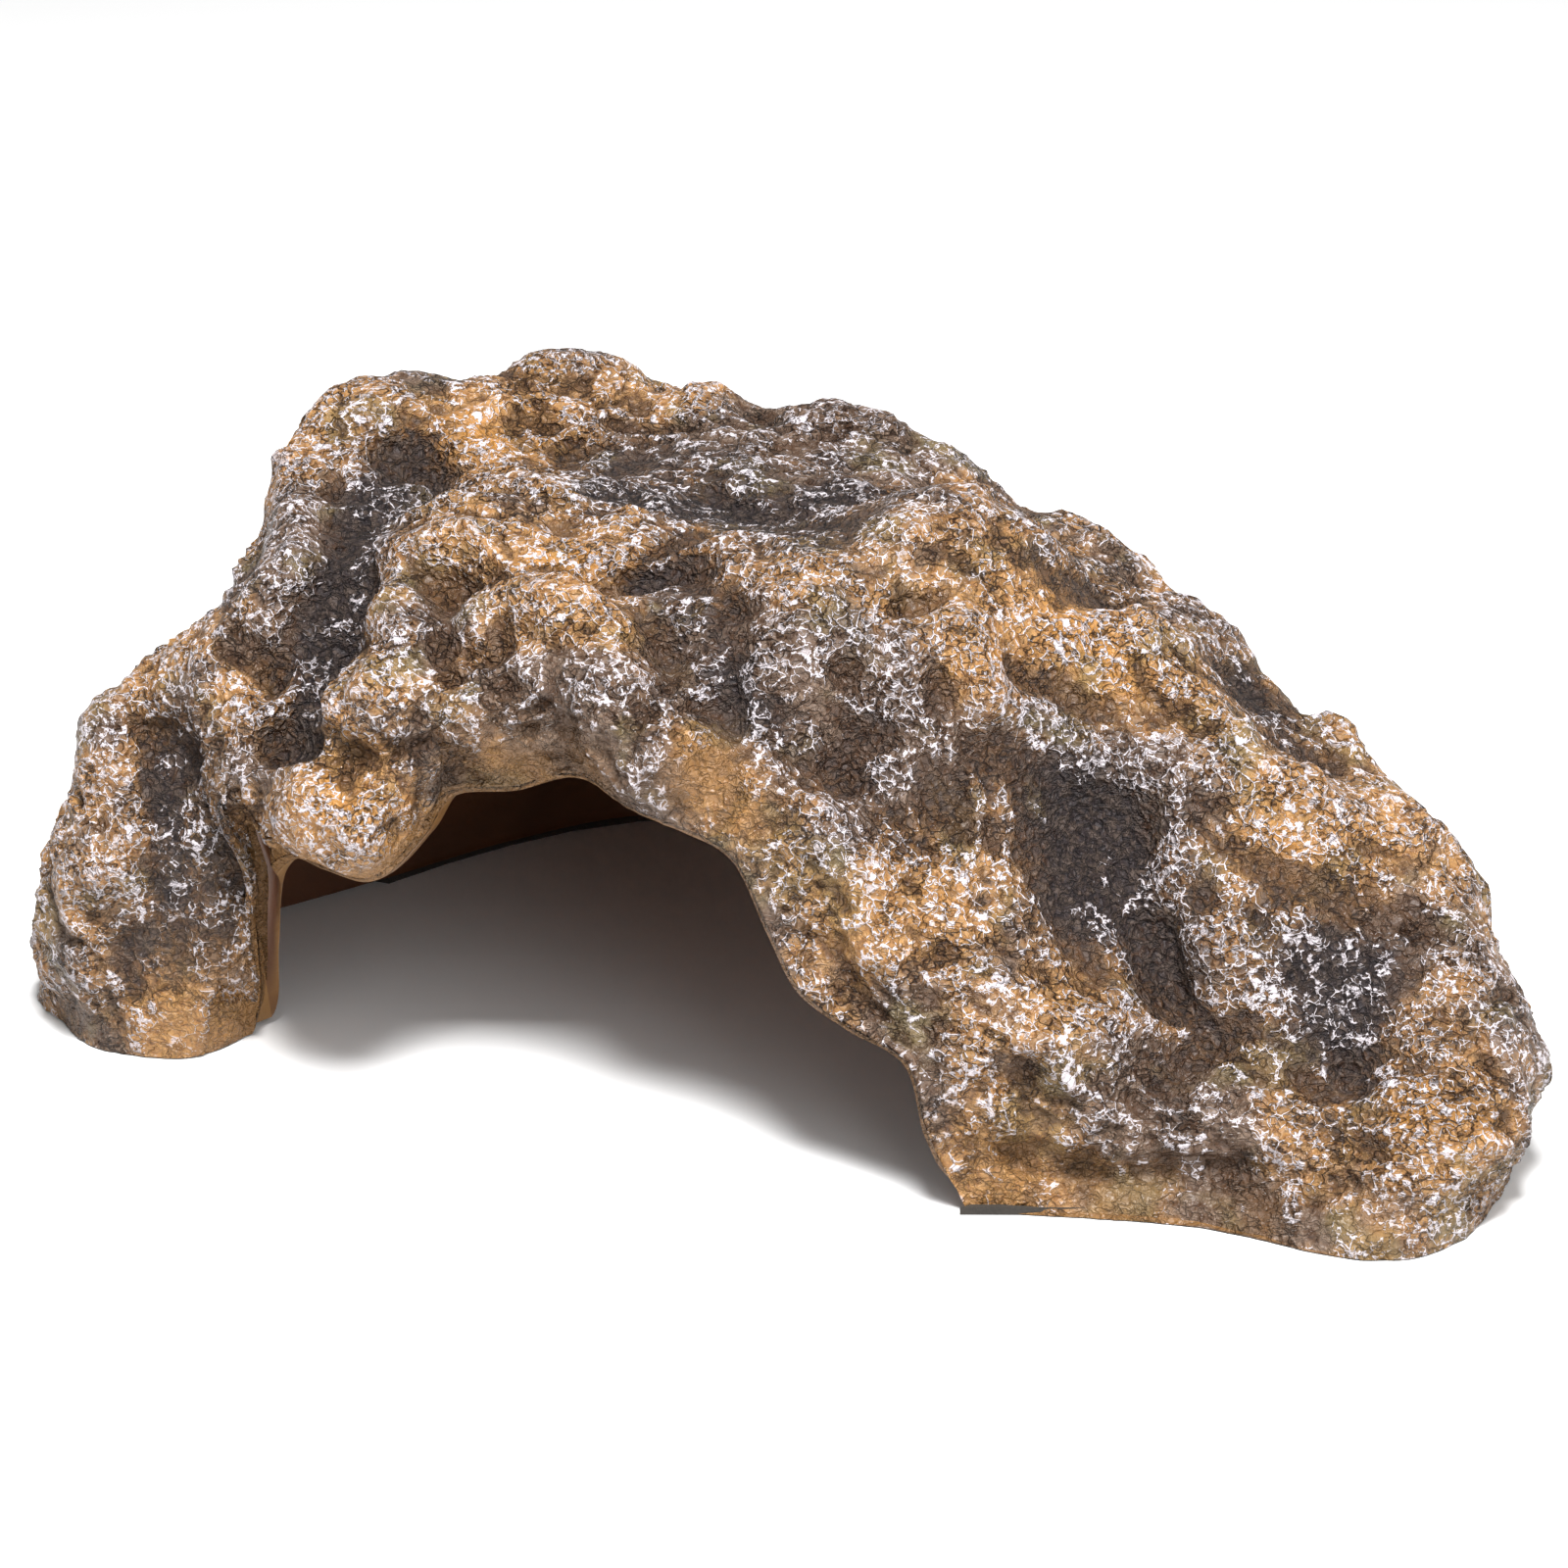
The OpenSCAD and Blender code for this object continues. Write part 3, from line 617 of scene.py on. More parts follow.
def rim_of(count):
    """Point numbers round the edge of a square grid, in order."""
    index = np.arange(count * count).reshape(count, count)
    return np.concatenate([index[:-1, 0], index[-1, :-1], index[:0:-1, -1],
                           index[0, :0:-1]])


def mesh_object(name, points, quads, attributes=None, strip=None):
    """Object at the origin from arrays of points in metres and of faces."""
    mesh = bpy.data.meshes.new(name)
    faces = quads.tolist() + (strip.tolist() if strip is not None else [])
    mesh.from_pydata(points.reshape(-1, 3).tolist(), [], faces)
    mesh.polygons.foreach_set("use_smooth", np.full(len(mesh.polygons), True))
    for key, values in (attributes or {}).items():
        layer = mesh.attributes.new(key, "FLOAT", "POINT")
        layer.data.foreach_set("value", np.asarray(values, np.float32).ravel())
    mesh.validate()
    mesh.update()
    piece = bpy.data.objects.new(name, mesh)
    bpy.context.scene.collection.objects.link(piece)
    return piece


def fit_piece(piece, nodes, material):
    """Stand a piece in for its CAD nodes, on the one body."""
    piece.data.materials.append(material)
    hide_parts(*nodes)
    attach(piece, BODY)


def grid_normals(grid):
    """Unit normals of a grid of points from the cross product of its slopes."""
    n = np.cross(np.gradient(grid, axis=0), np.gradient(grid, axis=1))
    return n / np.maximum(np.linalg.norm(n, axis=-1, keepdims=True), 1e-12)


def stand_out(grid, normal, passes):
    """How far each point stands out of its surroundings, in standard deviations:
    the point less the mean of its neighbours, taken over and over, along the normal."""
    mean = grid
    for _ in range(passes):
        for axis in (0, 1):
            side = [(1, 1) if k == axis else (0, 0) for k in range(3)]
            wide = np.pad(mean, side, mode="edge")
            ahead, behind = ((wide[2:], wide[:-2]) if axis == 0
                             else (wide[:, 2:], wide[:, :-2]))
            mean = (ahead + behind + 2 * mean) / 4
    height = np.sum((grid - mean) * normal, axis=-1)
    return height / height[8:-8, 8:-8].std()


def kept_over(face, behind, normal, s):
    """The face lifted along its normal to at least the coat's least thickness over
    the layer behind it, except at the edge."""
    gap = np.sum((face - behind) * normal, axis=-1)
    lift = np.maximum(COAT_LEAST - gap, 0.0) * smooth(0.0, 0.025, s)
    return face + normal * lift[..., None]


def pressed(z, ground):
    """Heights with the top pressed down by start + most * tanh(excess / most), and
    with the bottom edge hanging down where the bare form is near the ground."""
    top = z - TOP_SOFT_FROM
    z = np.where(top > 0, TOP_SOFT_FROM + TOP_SOFT * np.tanh(top / TOP_SOFT), z)
    sole = 1 - smooth(0.0, SOLE_HEIGHT, ground)
    return np.maximum(z, 0.0) * (1 - sole) - SOLE_DROP * sole


def edge_direction(u):
    """Way out over the edge of the wall, from a little inside it to the edge;
    zero where the edge stands on its pads."""
    edge, inside = form(u, np.zeros_like(u)), form(u, np.full_like(u, 0.03))
    d = edge - inside
    d /= np.linalg.norm(d, axis=-1, keepdims=True)
    return d * smooth(2.0, 9.0, edge[..., 2])[..., None]


def rounded_edge(u, start, end, depth_from, depth_to, steps):
    """Rings over the edge from one face to the next: a straight blend plus half
    an ellipse over the whole thickness of the wall."""
    t = np.linspace(0.0, 1.0, steps)[:, None, None]
    depth = depth_from + (depth_to - depth_from) * t
    bulge = LIP_ROUNDING * np.sqrt(np.clip(1 - (2 * depth - 1) ** 2, 0, 1))
    return start * (1 - t) + end * t + bulge * edge_direction(u)


def closed_layer(u, face, depth, steps, inward=False):
    """Points and faces of a closed layer: a fine square grid, rings over its edge
    from the given depth to the bond, and a coarse grid on the bond as its back,
    joined by one strip of wider faces."""
    count, back_count = len(face), BACK_COUNT
    stride = (count - 1) // (back_count - 1)
    rim = rim_of(count)
    width = len(rim)
    rim_u = u.ravel()[rim]
    over = rounded_edge(rim_u, face.reshape(-1, 3)[rim],
                        bond_face(rim_u, np.zeros_like(rim_u)),
                        depth, COAT_SHARE, steps)[1:]
    back_u, back_s = square_on_disc(back_count)
    back = bond_face(back_u, BACK_START + (1 - BACK_START) * back_s)
    first_ring = count * count
    first_back = first_ring + over.shape[0] * width
    points = np.concatenate([face.reshape(-1, 3), over.reshape(-1, 3),
                             back.reshape(-1, 3)])
    rings = np.vstack([rim, first_ring + np.arange(over.shape[0] * width)
                       .reshape(over.shape[0], width)])
    rings = np.hstack([rings, rings[:, :1]])
    back_index = first_back + np.arange(back_count ** 2).reshape(back_count, -1)
    back_rim = first_back + rim_of(back_count)
    back_rim = np.append(back_rim, back_rim[0])
    starts = np.arange(0, width, stride)
    fine = rings[-1][starts[:, None] + np.arange(stride + 1)]
    strip = np.hstack([fine, back_rim[1:, None], back_rim[:-1, None]])
    quads = np.concatenate([
        grid_faces(np.arange(count * count).reshape(count, count), flip=inward),
        grid_faces(rings, flip=not inward), grid_faces(back_index, flip=not inward)])
    if inward:
        strip = strip[:, ::-1]
    return points, quads, strip


# ------------------------------------------------------------------ materials


class Value:
    """A shader socket that takes Python arithmetic and adds Math nodes."""

    def __init__(self, shader, socket):
        self.shader, self.socket = shader, socket

    def _math(self, operation, *values):
        return self.shader.add("ShaderNodeMath", {"operation": operation},
                               dict(enumerate(values)))

    def __add__(self, other):
        return self._math("ADD", self, other)

    def __sub__(self, other):
        return self._math("SUBTRACT", self, other)

    def __rsub__(self, other):
        return self._math("SUBTRACT", other, self)

    def __mul__(self, other):
        return self._math("MULTIPLY", self, other)

    def __abs__(self):
        return self._math("ABSOLUTE", self)

    def most(self, other):
        """The larger of the two."""
        return self._math("MAXIMUM", self, other)

    __radd__ = __add__
    __rmul__ = __mul__


class Shader:
    """Node tree of one material, with its Principled shader ready."""

    def __init__(self, name):
        self.material = bpy.data.materials.new(name)
        self.material.use_nodes = True
        self.tree = self.material.node_tree
        self.tree.nodes.clear()
        self.surface = self.tree.nodes.new("ShaderNodeBsdfPrincipled")
        end = self.tree.nodes.new("ShaderNodeOutputMaterial")
        self.tree.links.new(self.surface.outputs["BSDF"], end.inputs["Surface"])

    def join(self, value, socket):
        """Link a socket's value, or set it."""
        if isinstance(value, Value):
            self.tree.links.new(value.socket, socket)
        else:
            socket.default_value = value

    def add(self, kind, settings=None, values=None, output=0):
        """A node of a type with its settings, then its sockets' values or links."""
        node = self.tree.nodes.new(kind)
        for key, value in (settings or {}).items():
            setattr(node, key, value)
        for key, value in (values or {}).items():
            self.join(value, node.inputs[key])
        return Value(self, node.outputs[output])

    def set(self, **sockets):
        """Values or links for the Principled shader's sockets."""
        for key, value in sockets.items():
            self.join(value, self.surface.inputs[key.replace("_", " ")])

    def place(self):
        """Object coordinates in millimetres."""
        where = self.add("ShaderNodeTexCoord", output="Object")
        return self.vector("SCALE", {0: where, "Scale": 1 / MM})

    def vector(self, operation, values):
        """Result of a Vector Math node."""
        return self.add("ShaderNodeVectorMath", {"operation": operation}, values)

    def moved(self, p, q, amount):
        """p moved by a colour noise q about its grey, times amount."""
        centred = self.vector("SUBTRACT", {0: q, 1: (0.5, 0.5, 0.5)})
        return self.vector("ADD", {0: p, 1: self.vector(
            "SCALE", {0: centred, "Scale": amount})})

    def stretched(self, p, factors, turn=(0, 0, 0)):
        """p scaled by the factors and turned."""
        return self.add("ShaderNodeMapping", {},
                        {"Vector": p, "Rotation": turn, "Scale": factors})

    def noise(self, p, size, detail=2.0, rough=0.5, output="Fac"):
        """Noise whose features are about size millimetres across."""
        return self.add("ShaderNodeTexNoise", {},
                        {"Vector": p, "Scale": 1.0 / size, "Detail": detail,
                         "Roughness": rough}, output=output)

    def net(self, p, size, width, detail=1.0):
        """Net of thin lines where the noise passes its middle value."""
        n = self.noise(p, size, detail, 0.55)
        return self.step(abs(n - 0.5), width, 0.0)

    def cells(self, p, size):
        """Distance to the nearest edge of cells about size millimetres across, as a
        share of the size."""
        return self.add("ShaderNodeTexVoronoi", {"feature": "DISTANCE_TO_EDGE"},
                        {"Vector": p, "Scale": 1.0 / size})

    def step(self, value, low, high):
        """Smooth step from 0 at low to 1 at high."""
        return self.add("ShaderNodeMapRange", {"interpolation_type": "SMOOTHSTEP"},
                        {"Value": value, "From Min": low, "From Max": high})

    def attribute(self, name):
        """The mesh's own value of this name."""
        return self.add("ShaderNodeAttribute", {"attribute_name": name}, output="Fac")

    def mix(self, factor, a, b):
        """Colour a at factor 0 and b at 1."""
        return self.add("ShaderNodeMix", {"data_type": "RGBA", "clamp_factor": True},
                        {0: factor, 6: a, 7: b}, output=2)

    def bump(self, height, distance, strength=1.0):
        """Normal from a height of the given distance in metres."""
        return self.add("ShaderNodeBump", {}, {
            "Height": height, "Distance": distance, "Strength": strength})


# Sizes of the rock's paint and grain, in millimetres, and how far the nets and
# the cells are bent out of true.
DRIFT, MOSS, WIDE, BUSY, PATCH, SPECK = 3.0, 15.0, 26.0, 10.0, 8.0, 1.4
CELL, NET_WIDE, NET_FINE, CRACK = 2.4, 3.8, 1.5, 3.4
NET_BEND, CELL_BEND = 1.1, 2.6


def paint(colour):
    """Colour setting with full opacity."""
    return (*colour, 1.0)


def rock_material(settings):
    """Painted rock: ochre to brown and taupe patches, dark plum wash in the hollows,
    painted shade in the low places, fine cracks and pits, and a dry-brushed pale net on
    the crests."""
    sh = Shader("painted_rock_finish")
    p = sh.place()
    crest = sh.attribute("crest")
    wash = sh.attribute("wash")
    bare = sh.attribute("bare")
    amber = sh.attribute("amber")
    rib = sh.attribute("rib")
    drift = sh.noise(p, DRIFT, 2.0, 0.5, "Color")
    q = sh.moved(p, drift, NET_BEND)

    wide = sh.noise(p, WIDE, 3.0, 0.55)
    patch = sh.noise(q, PATCH, 3.0, 0.6)
    speck = sh.noise(q, SPECK, 3.0, 0.6)
    busy = sh.step(sh.noise(p, BUSY, 2.0, 0.5), 0.4, 0.56).most(wash) * (1.0 - bare * 0.8)

    cell = sh.cells(sh.moved(p, drift, CELL_BEND), CELL)
    rims = sh.step(cell, 0.075, 0.02)
    cups = sh.step(cell, 0.0, 0.3)
    net_wide = sh.net(q, NET_WIDE, 0.03, 2.0)
    net_fine = sh.net(p, NET_FINE, 0.04, 1.0)
    slanted = sh.stretched(q, (1.0, 1.0, 1.6), (0.4, 0.7, 0.2))
    crack = sh.net(slanted, CRACK, 0.04, 2.0)

    tone = sh.step(speck, 0.3, 0.62)
    ochre = sh.mix(tone, paint(settings.rust), paint(settings.ochre))
    taupe = sh.mix(tone, paint(settings.brown), paint(settings.taupe))
    warm = amber + (wide - 0.5) * 1.1 + (patch - 0.5) * 0.9
    base = sh.mix(sh.step(warm, 0.3, 0.62), taupe, ochre)
    base = sh.mix(sh.step(warm, 0.7, 1.1) * 0.7, base, paint(settings.gold))
    moss = sh.step(sh.noise(p, MOSS, 2.0, 0.6), 0.52, 0.66)
    base = sh.mix(moss * 0.45, base, paint(settings.olive))
    # Painted shade: where the crest value is low, in the hollows, the ground is darkened
    # toward brown.
    low = sh.step(crest + (speck - 0.5) * 0.4, 0.6, 0.15)
    base = sh.mix(low * 0.78, base, paint(settings.brown))
    # Painted shade: the fine cracks and pits darkened to near black.
    crack_and_pit_shade = sh.step(speck, 0.42, 0.3).most(crack) * (0.25 + busy * 0.75)
    base = sh.mix(crack_and_pit_shade * (1.0 - bare) * 0.88, base, paint(settings.crack_shade))
    dark = sh.step(wash + (patch - 0.5) * 1.2 + (speck - 0.5) * 1.5 + (cups - 0.5) * 0.3,
                   0.0, 0.9)
    wash_tone = sh.mix(sh.step(speck, 0.4, 0.62) * 0.24, paint(settings.plum), taupe)
    base = sh.mix(dark * 0.92, base, wash_tone)
    base = sh.mix(bare * 0.8, base, paint(settings.bare_resin))

    ribs = sh.step(rib + (speck - 0.5) * 0.5, 0.88, 0.98)
    lines = rims.most(net_wide).most(net_fine * 0.55).most(ribs * 0.9)
    lines = lines * sh.step(speck, 0.4, 0.54)
    cover = (0.47 + (crest - 0.5) * 1.25 + (patch - 0.5) * 1.5 + (wide - 0.5) * 0.8
             + wash * 0.08 - bare * 0.8 + settings.brush_cover)
    drawn = sh.step(lines * sh.step(cover, 0.1, 0.9), 0.3, 0.7)
    blot = sh.step(cover + (speck - 0.5) * 2.2, 1.25, 1.55)
    white = drawn.most(blot * 0.6) * (1.0 - bare) * settings.brush_strength
    colour = sh.mix(white, base, paint(settings.dry_brush))

    height = (lines * 0.35 + speck * 0.4 - cups * 0.45 - crack * 0.5) * (0.3 + busy * 0.7)
    relief = sh.bump(height, settings.grain_height)
    rough = 0.3 + white * 0.15 + speck * 0.2 + dark * 0.25
    sh.set(Base_Color=colour, Roughness=rough, Normal=relief, IOR=1.4)
    return sh.material


def clouded(sh, slow, fine, settings):
    """The lip's amber clouded with its brown by a slow and a fine noise."""
    share = sh.step(slow + (fine - 0.5) * 0.3, 0.35, 0.65)
    return sh.mix(share, paint(settings.lip_amber), paint(settings.lip_brown))


def lining_material(settings):
    """Bare resin: amber at the lip, near-black brown inside, with a painted red-brown
    glow of light through the resin under the top of the arch."""
    sh = Shader("lining_resin_finish")
    p = sh.place()
    lip = sh.attribute("lip")
    glow = sh.attribute("glow")
    slow = sh.noise(p, 18.0, 3.0, 0.5)
    fine = sh.noise(p, 2.2, 3.0, 0.6)
    dark = sh.mix(slow, paint(settings.inner_dark), paint(settings.inner_brown))
    # Painted glow: light through the resin under the arch, laid into the colour.
    inside = sh.mix(glow, dark, paint(settings.inner_glow))
    colour = sh.mix(lip, inside, clouded(sh, slow, fine, settings))
    relief = sh.bump(slow * 0.7 + fine * 0.3, 0.0008, 0.6)
    sh.set(Base_Color=colour, Roughness=0.32 + fine * 0.15, Normal=relief,
           Coat_Weight=0.2, Coat_Roughness=0.2, IOR=1.5)
    return sh.material


def fill_material(settings):
    """Poured resin: the lip's amber and brown, clouded, with a faint grain."""
    sh = Shader("fill_resin_finish")
    p = sh.place()
    slow = sh.noise(p, 14.0, 3.0, 0.55)
    fine = sh.noise(p, 1.8, 2.0, 0.6)
    colour = clouded(sh, slow, fine, settings)
    relief = sh.bump(slow * 0.6 + fine * 0.4, 0.0006, 0.7)
    sh.set(Base_Color=colour, Roughness=0.4 + fine * 0.2, Normal=relief, IOR=1.5)
    return sh.material


def pad_material(settings):
    """Dark foam rubber with a fine pored skin."""
    sh = Shader("pad_rubber_finish")
    p = sh.place()
    pores = sh.noise(p, 0.7, 3.0, 0.7)
    worn = sh.noise(p, 9.0, 2.0, 0.5)
    colour = sh.mix(worn, paint(settings.pad_dark), paint(settings.pad_worn))
    sh.set(Base_Color=colour, Roughness=0.75 + pores * 0.2,
           Normal=sh.bump(pores, 0.0003, 0.8), IOR=1.45)
    return sh.material


def floor_material(settings):
    """Plain pale board."""
    sh = Shader("studio_floor_finish")
    p = sh.place()
    tone = sh.noise(p, 400.0, 1.0, 0.5)
    sh.set(Base_Color=sh.mix(tone * 0.05, paint(settings.floor_colour),
                             paint(settings.floor_shade)), Roughness=0.85)
    return sh.material


# ------------------------------------------------------------------- settings

# Stage, in metres: half the floor, each lamp's place and size, what the lamps
# and the camera aim at, and the camera's lens, sensor and upward shift.
FLOOR_HALF = 6.0
KEY_LAMP = (0.25, -0.45, 1.3), 0.35
FILL_LAMP = (0.95, -0.65, 0.7), 0.9
LAMP_AIM = Vector((0.0, 0.0, 0.04))
CAMERA_AIM = Vector((-0.015, 0.003, 0.0))
LENS, SENSOR = 118.1, 36.0
CAMERA_SHIFT = 0.125
CAMERA_CLIP = 0.05, 50.0


def colour_setting(name, description, default):
    return bpy.props.FloatVectorProperty(
        name=name, description=description, default=default, size=3,
        min=0.0, max=1.0, subtype="COLOR")


def number_setting(name, description, default, low, high, **more):
    return bpy.props.FloatProperty(
        name=name, description=description, default=default, min=low, max=high, **more)


class CaveRockSettings(bpy.types.PropertyGroup):
    """Texture and paint of the rock coat."""

    wrinkle_amount: number_setting(
        "Wrinkles", "How strong the rock's wrinkles are, 1 is as cast",
        1.0, 0.0, 1.5, subtype="FACTOR")
    grid_count: bpy.props.IntProperty(
        name="Grid", description="Points along each side of the rock's grid",
        default=301, min=61, max=301, step=60)
    grain_height: number_setting(
        "Grain height", "Height of the finest grain of the rock",
        0.0016, 0.0, 0.003, unit="LENGTH")
    brush_cover: number_setting(
        "Dry brush cover", "How far the pale dry brushing reaches down from the crests",
        0.05, -1.0, 1.0)
    brush_strength: number_setting(
        "Dry brush strength", "How opaque the pale dry brushing is",
        0.9, 0.0, 1.0, subtype="FACTOR")
    ochre: colour_setting("Ochre", "Lightest ground colour", (0.42, 0.225, 0.08))
    gold: colour_setting("Gold", "Most saturated ground colour", (0.46, 0.205, 0.035))
    # Painted shade in the fine cracks and pits.
    crack_shade: colour_setting("Crevice", "Dark fine cracks", (0.02, 0.009, 0.005))
    rust: colour_setting("Rust", "Orange-brown in the ochre", (0.22, 0.10, 0.034))
    olive: colour_setting("Olive", "Green-brown tint", (0.16, 0.13, 0.05))
    taupe: colour_setting("Taupe", "Grey-brown ground colour", (0.17, 0.115, 0.082))
    # Brown ground colour, also used for the painted shade in the low places.
    brown: colour_setting("Brown", "Brown in the low places", (0.06, 0.03, 0.016))
    plum: colour_setting("Plum wash", "Dark wash in the hollows", (0.013, 0.009, 0.011))
    bare_resin: colour_setting("Bare resin", "Smooth places left bare",
                               (0.23, 0.115, 0.038))
    dry_brush: colour_setting("Dry brush", "Pale brushing on crests", (0.60, 0.55, 0.58))


class CaveLiningSettings(bpy.types.PropertyGroup):
    """Colours of the lining, the fills and the pads."""

    inner_dark: colour_setting("Inner dark", "Near-black inside", (0.04, 0.016, 0.007))
    inner_brown: colour_setting("Inner brown", "Brown inside", (0.14, 0.048, 0.016))
    # Painted glow of light through the resin.
    inner_glow: colour_setting("Inner glow", "Red-brown under the arch",
                               (0.75, 0.22, 0.045))
    lip_amber: colour_setting("Lip amber", "Light bare lip", (0.22, 0.11, 0.034))
    lip_brown: colour_setting("Lip brown", "Dark bare lip", (0.15, 0.07, 0.022))
    pad_dark: colour_setting("Pad", "Rubber of the pads", (0.018, 0.015, 0.012))
    pad_worn: colour_setting("Worn pad", "Dusty rubber", (0.05, 0.042, 0.035))


class CaveStageSettings(bpy.types.PropertyGroup):
    """Floor, lamps and camera."""

    floor_colour: colour_setting("Floor", "Colour of the floor", (0.86, 0.86, 0.86))
    floor_shade: colour_setting("Floor shade", "Second tone of the floor",
                                (0.80, 0.80, 0.80))
    key_power: number_setting("Key lamp", "Power of the main lamp", 35.0, 0.0, 500.0,
                              unit="POWER")
    fill_power: number_setting("Fill lamp", "Power of the fill lamp", 7.0, 0.0, 500.0,
                               unit="POWER")
    sky_strength: number_setting("Surround", "Brightness of the surround", 0.44, 0.0, 5.0)
    camera_distance: number_setting("Camera distance", "From the aim to the camera",
                                    1.0, 0.3, 5.0, unit="LENGTH")
    camera_turn: number_setting("Camera turn", "Round from the front",
                                math.radians(26), -math.pi, math.pi, subtype="ANGLE")
    camera_rise: number_setting("Camera rise", "Above the horizon",
                                math.radians(25), 0.0, math.pi / 2, subtype="ANGLE")


# ------------------------------------------------------------------ operators


class CAVE_OT_rock_coat(bpy.types.Operator):
    """Build the rock-faced outer coat"""

    bl_idname = "cave.rock_coat"
    bl_label = "Rock coat"

    def execute(self, context):
        settings = context.scene.cave_rock
        u, s = square_on_disc(settings.grid_count)
        p, d, relief, lumps, wash, thick = wall_parts(u, s)
        smooth_face = on_wall(p, d, relief + lumps)
        bare = np.maximum(bare_patches(smooth_face), bare_lip(smooth_face, s))
        calm = ((0.3 + 0.7 * smooth(0.0, 0.05, s)) * (1 - 0.75 * bare)
                * (1 - 0.25 * wash))
        height, rib = wrinkles(smooth_face, settings.wrinkle_amount, calm)
        height = height + folds(smooth_face)
        normal = grid_normals(smooth_face)
        normal *= np.sign(np.sum(normal * d, axis=-1, keepdims=True))
        face = smooth_face + normal * height[..., None]
        for middle, spread, depth in PITS:
            face = face - normal * (depth * fade(face, middle, spread))[..., None]
        behind = p + d * bond_depth(relief, lumps, thick, s)[..., None]
        face = kept_over(face, behind, normal, s)
        face = face + CORNER_SWELL * fade(p, CORNER, CORNER_SPREAD)[..., None]
        # The crest value places the dry brushing on the crests and the painted shade in
        # the hollows.
        crest = np.clip(0.5 + 0.2 * stand_out(face, normal, NEAR_PASSES)
                        + 0.14 * stand_out(face, normal, WIDE_PASSES), 0, 1)
        face[..., 2] = pressed(face[..., 2], p[..., 2])
        dark = np.minimum(np.maximum(0.8 * wash, painted(face, DARK_SPOTS)), 1.1)

        points, quads, strip = closed_layer(u, face, 0.0, COAT_EDGE_RINGS)
        tail = len(points) - face.size // 3

        def whole(values, behind):
            return np.concatenate([np.ravel(values), np.full(tail, behind)])

        piece = mesh_object("rock_coat_shell", to_frame(points), quads, {
            "crest": whole(crest, 0.2), "wash": whole(dark, 0.0),
            "bare": whole(bare, 0.9), "rib": whole(rib, 0.0),
            "amber": whole(painted(face, WARM_SPOTS, 0.5), 0.6)}, strip)
        fit_piece(piece, ["rock_coat"], rock_material(settings))
        return {"FINISHED"}


class CAVE_OT_inner_lining(bpy.types.Operator):
    """Build the smooth lining with its bare lip round the mouth"""

    bl_idname = "cave.inner_lining"
    bl_label = "Inner lining"

    def execute(self, context):
        settings = context.scene.cave_lining
        u, s = square_on_disc(LINING_COUNT)
        p, d, relief, lumps, _, thick = wall_parts(u, s)
        face = on_wall(p, d, lining_depth(relief, lumps, thick))
        points, quads, strip = closed_layer(u, face, 1.0, LIP_RINGS, inward=True)
        start = face.size // 3
        height = smooth(4.0, 14.0, points[:, 2])
        near = np.concatenate([(1 - smooth(0.0, 0.07, s)).ravel(),
                               np.ones(len(points) - start)])
        mouth = smooth(-40.0, -60.0, points[:, 1]) * smooth(20.0, -10.0, points[:, 0])
        lip = near * mouth * (0.8 + 0.2 * height)
        # Where the painted glow of light through the resin lies.
        glow = fade(points, GLOW_MIDDLE, GLOW_SPREAD)
        piece = mesh_object("inner_lining_shell", to_frame(points), quads,
                            {"lip": lip, "glow": glow}, strip)
        fit_piece(piece, ["inner_lining"], lining_material(settings))
        return {"FINISHED"}


class CAVE_OT_fills_and_pads(bpy.types.Operator):
    """Finish the poured fills and the pads under the bottom edge"""

    bl_idname = "cave.fills_and_pads"
    bl_label = "Fills and pads"

    def execute(self, context):
        settings = context.scene.cave_lining
        fill = fill_material(settings)
        pad = pad_material(settings)
        for node, material in (("left_foot_fill", fill), ("right_toe_fill", fill),
                               ("left_foot_pad", pad), ("right_foot_pad", pad),
                               ("back_pad", pad)):
            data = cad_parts[node].data
            data.materials.clear()
            data.materials.append(material)
        return {"FINISHED"}


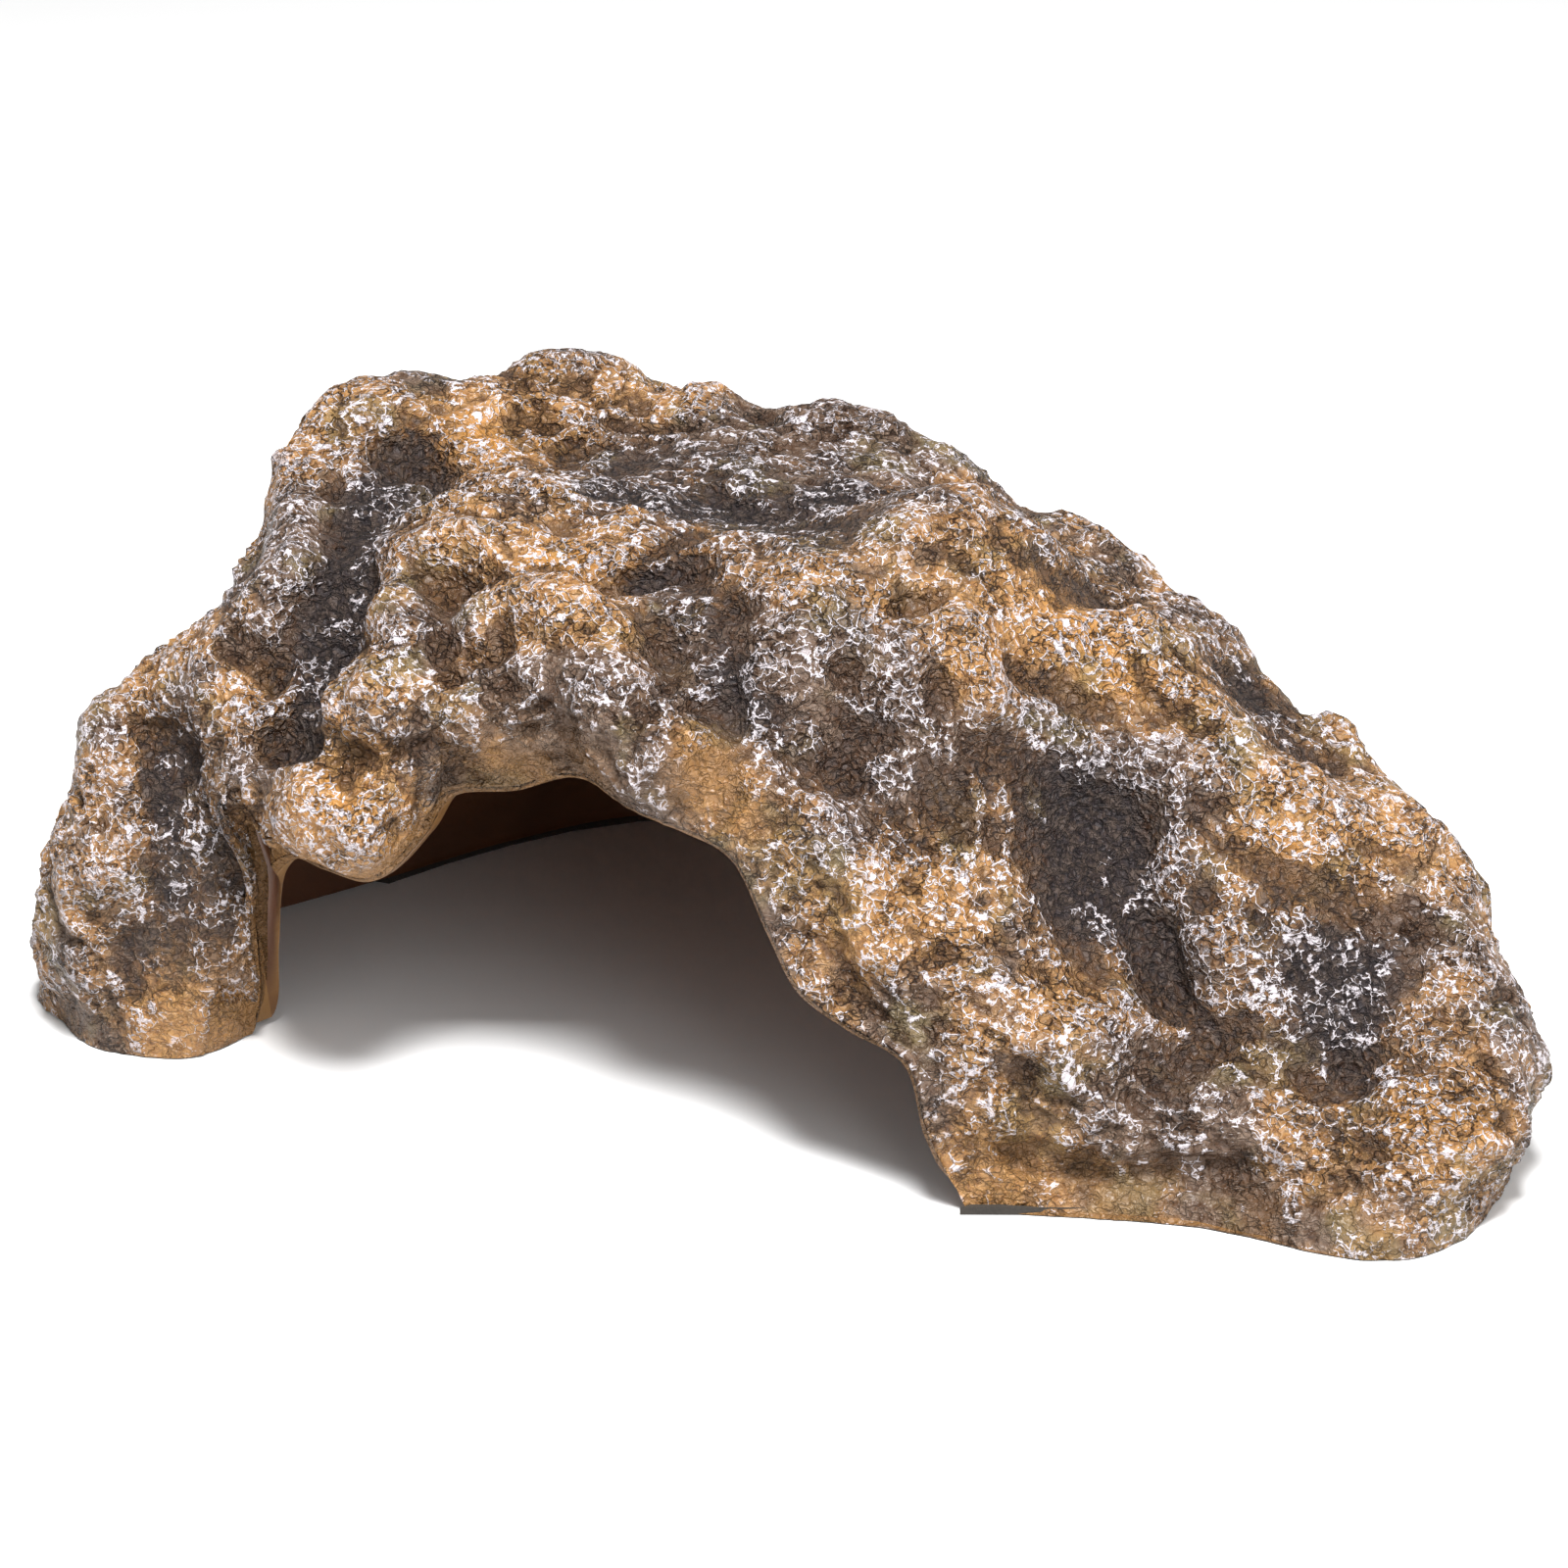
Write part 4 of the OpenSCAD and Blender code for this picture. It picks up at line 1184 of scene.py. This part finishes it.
class CAVE_OT_stage(bpy.types.Operator):
    """Lay the floor and place the lamps and the camera"""

    bl_idname = "cave.stage"
    bl_label = "Stage"

    def execute(self, context):
        settings = context.scene.cave_stage
        corners = FLOOR_HALF * np.array(
            [(-1, -1, 0), (1, -1, 0), (1, 1, 0), (-1, 1, 0)], float)
        floor = mesh_object("studio_floor", corners, np.array([[0, 1, 2, 3]]))
        floor.data.materials.append(floor_material(settings))

        self.lamp("key_lamp", *KEY_LAMP, settings.key_power)
        self.lamp("fill_lamp", *FILL_LAMP, settings.fill_power)

        world = bpy.data.worlds.new("studio_surround")
        world.use_nodes = True
        back = world.node_tree.nodes["Background"]
        back.inputs["Color"].default_value = (1.0, 1.0, 1.0, 1.0)
        back.inputs["Strength"].default_value = settings.sky_strength
        context.scene.world = world
        context.scene.view_settings.view_transform = "Standard"

        turn, rise = settings.camera_turn, settings.camera_rise
        back_way = Vector((math.sin(turn) * math.cos(rise),
                           -math.cos(turn) * math.cos(rise), math.sin(rise)))
        data = bpy.data.cameras.new("studio_camera")
        data.sensor_width, data.lens = SENSOR, LENS
        data.shift_y = CAMERA_SHIFT
        data.clip_start, data.clip_end = CAMERA_CLIP
        camera = bpy.data.objects.new("studio_camera", data)
        camera.location = CAMERA_AIM + back_way * settings.camera_distance
        camera.rotation_mode = "QUATERNION"
        camera.rotation_quaternion = (-back_way).to_track_quat("-Z", "Y")
        context.scene.collection.objects.link(camera)
        context.scene.camera = camera
        return {"FINISHED"}

    @staticmethod
    def lamp(name, place, size, power):
        """Square soft lamp that faces the middle of the cave."""
        data = bpy.data.lights.new(name, "AREA")
        data.shape = "SQUARE"
        data.size = size
        data.energy = power
        lamp = bpy.data.objects.new(name, data)
        lamp.location = place
        lamp.rotation_mode = "QUATERNION"
        lamp.rotation_quaternion = (LAMP_AIM - Vector(place)).to_track_quat("-Z", "Y")
        bpy.context.scene.collection.objects.link(lamp)


class CAVE_PT_panel(bpy.types.Panel):
    """Sizes, colours and steps of the cave hide"""

    bl_idname = "CAVE_PT_panel"
    bl_label = "Cave hide"
    bl_space_type = "VIEW_3D"
    bl_region_type = "UI"
    bl_category = "Cave hide"

    def draw(self, context):
        for operator, group in STEPS:
            column = self.layout.column()
            column.operator(operator)
            if group:
                settings = getattr(context.scene, group)
                for key in settings.bl_rna.properties.keys():
                    if key not in ("rna_type", "name"):
                        column.prop(settings, key)


STEPS = (("cave.rock_coat", "cave_rock"), ("cave.inner_lining", "cave_lining"),
         ("cave.fills_and_pads", None), ("cave.stage", "cave_stage"))
GROUPS = {"cave_rock": CaveRockSettings, "cave_lining": CaveLiningSettings,
          "cave_stage": CaveStageSettings}
CLASSES = (*GROUPS.values(), CAVE_OT_rock_coat, CAVE_OT_inner_lining,
           CAVE_OT_fills_and_pads, CAVE_OT_stage, CAVE_PT_panel)


def register():
    for cls in CLASSES:
        bpy.utils.register_class(cls)
    for name, group in GROUPS.items():
        setattr(bpy.types.Scene, name, bpy.props.PointerProperty(type=group))


def unregister():
    for name in GROUPS:
        delattr(bpy.types.Scene, name)
    for cls in reversed(CLASSES):
        bpy.utils.unregister_class(cls)


def main():
    """Build every piece and the stage."""
    register()
    for operator, _ in STEPS:
        category, name = operator.split(".")
        getattr(getattr(bpy.ops, category), name)()


if __name__ == "__main__":
    main()
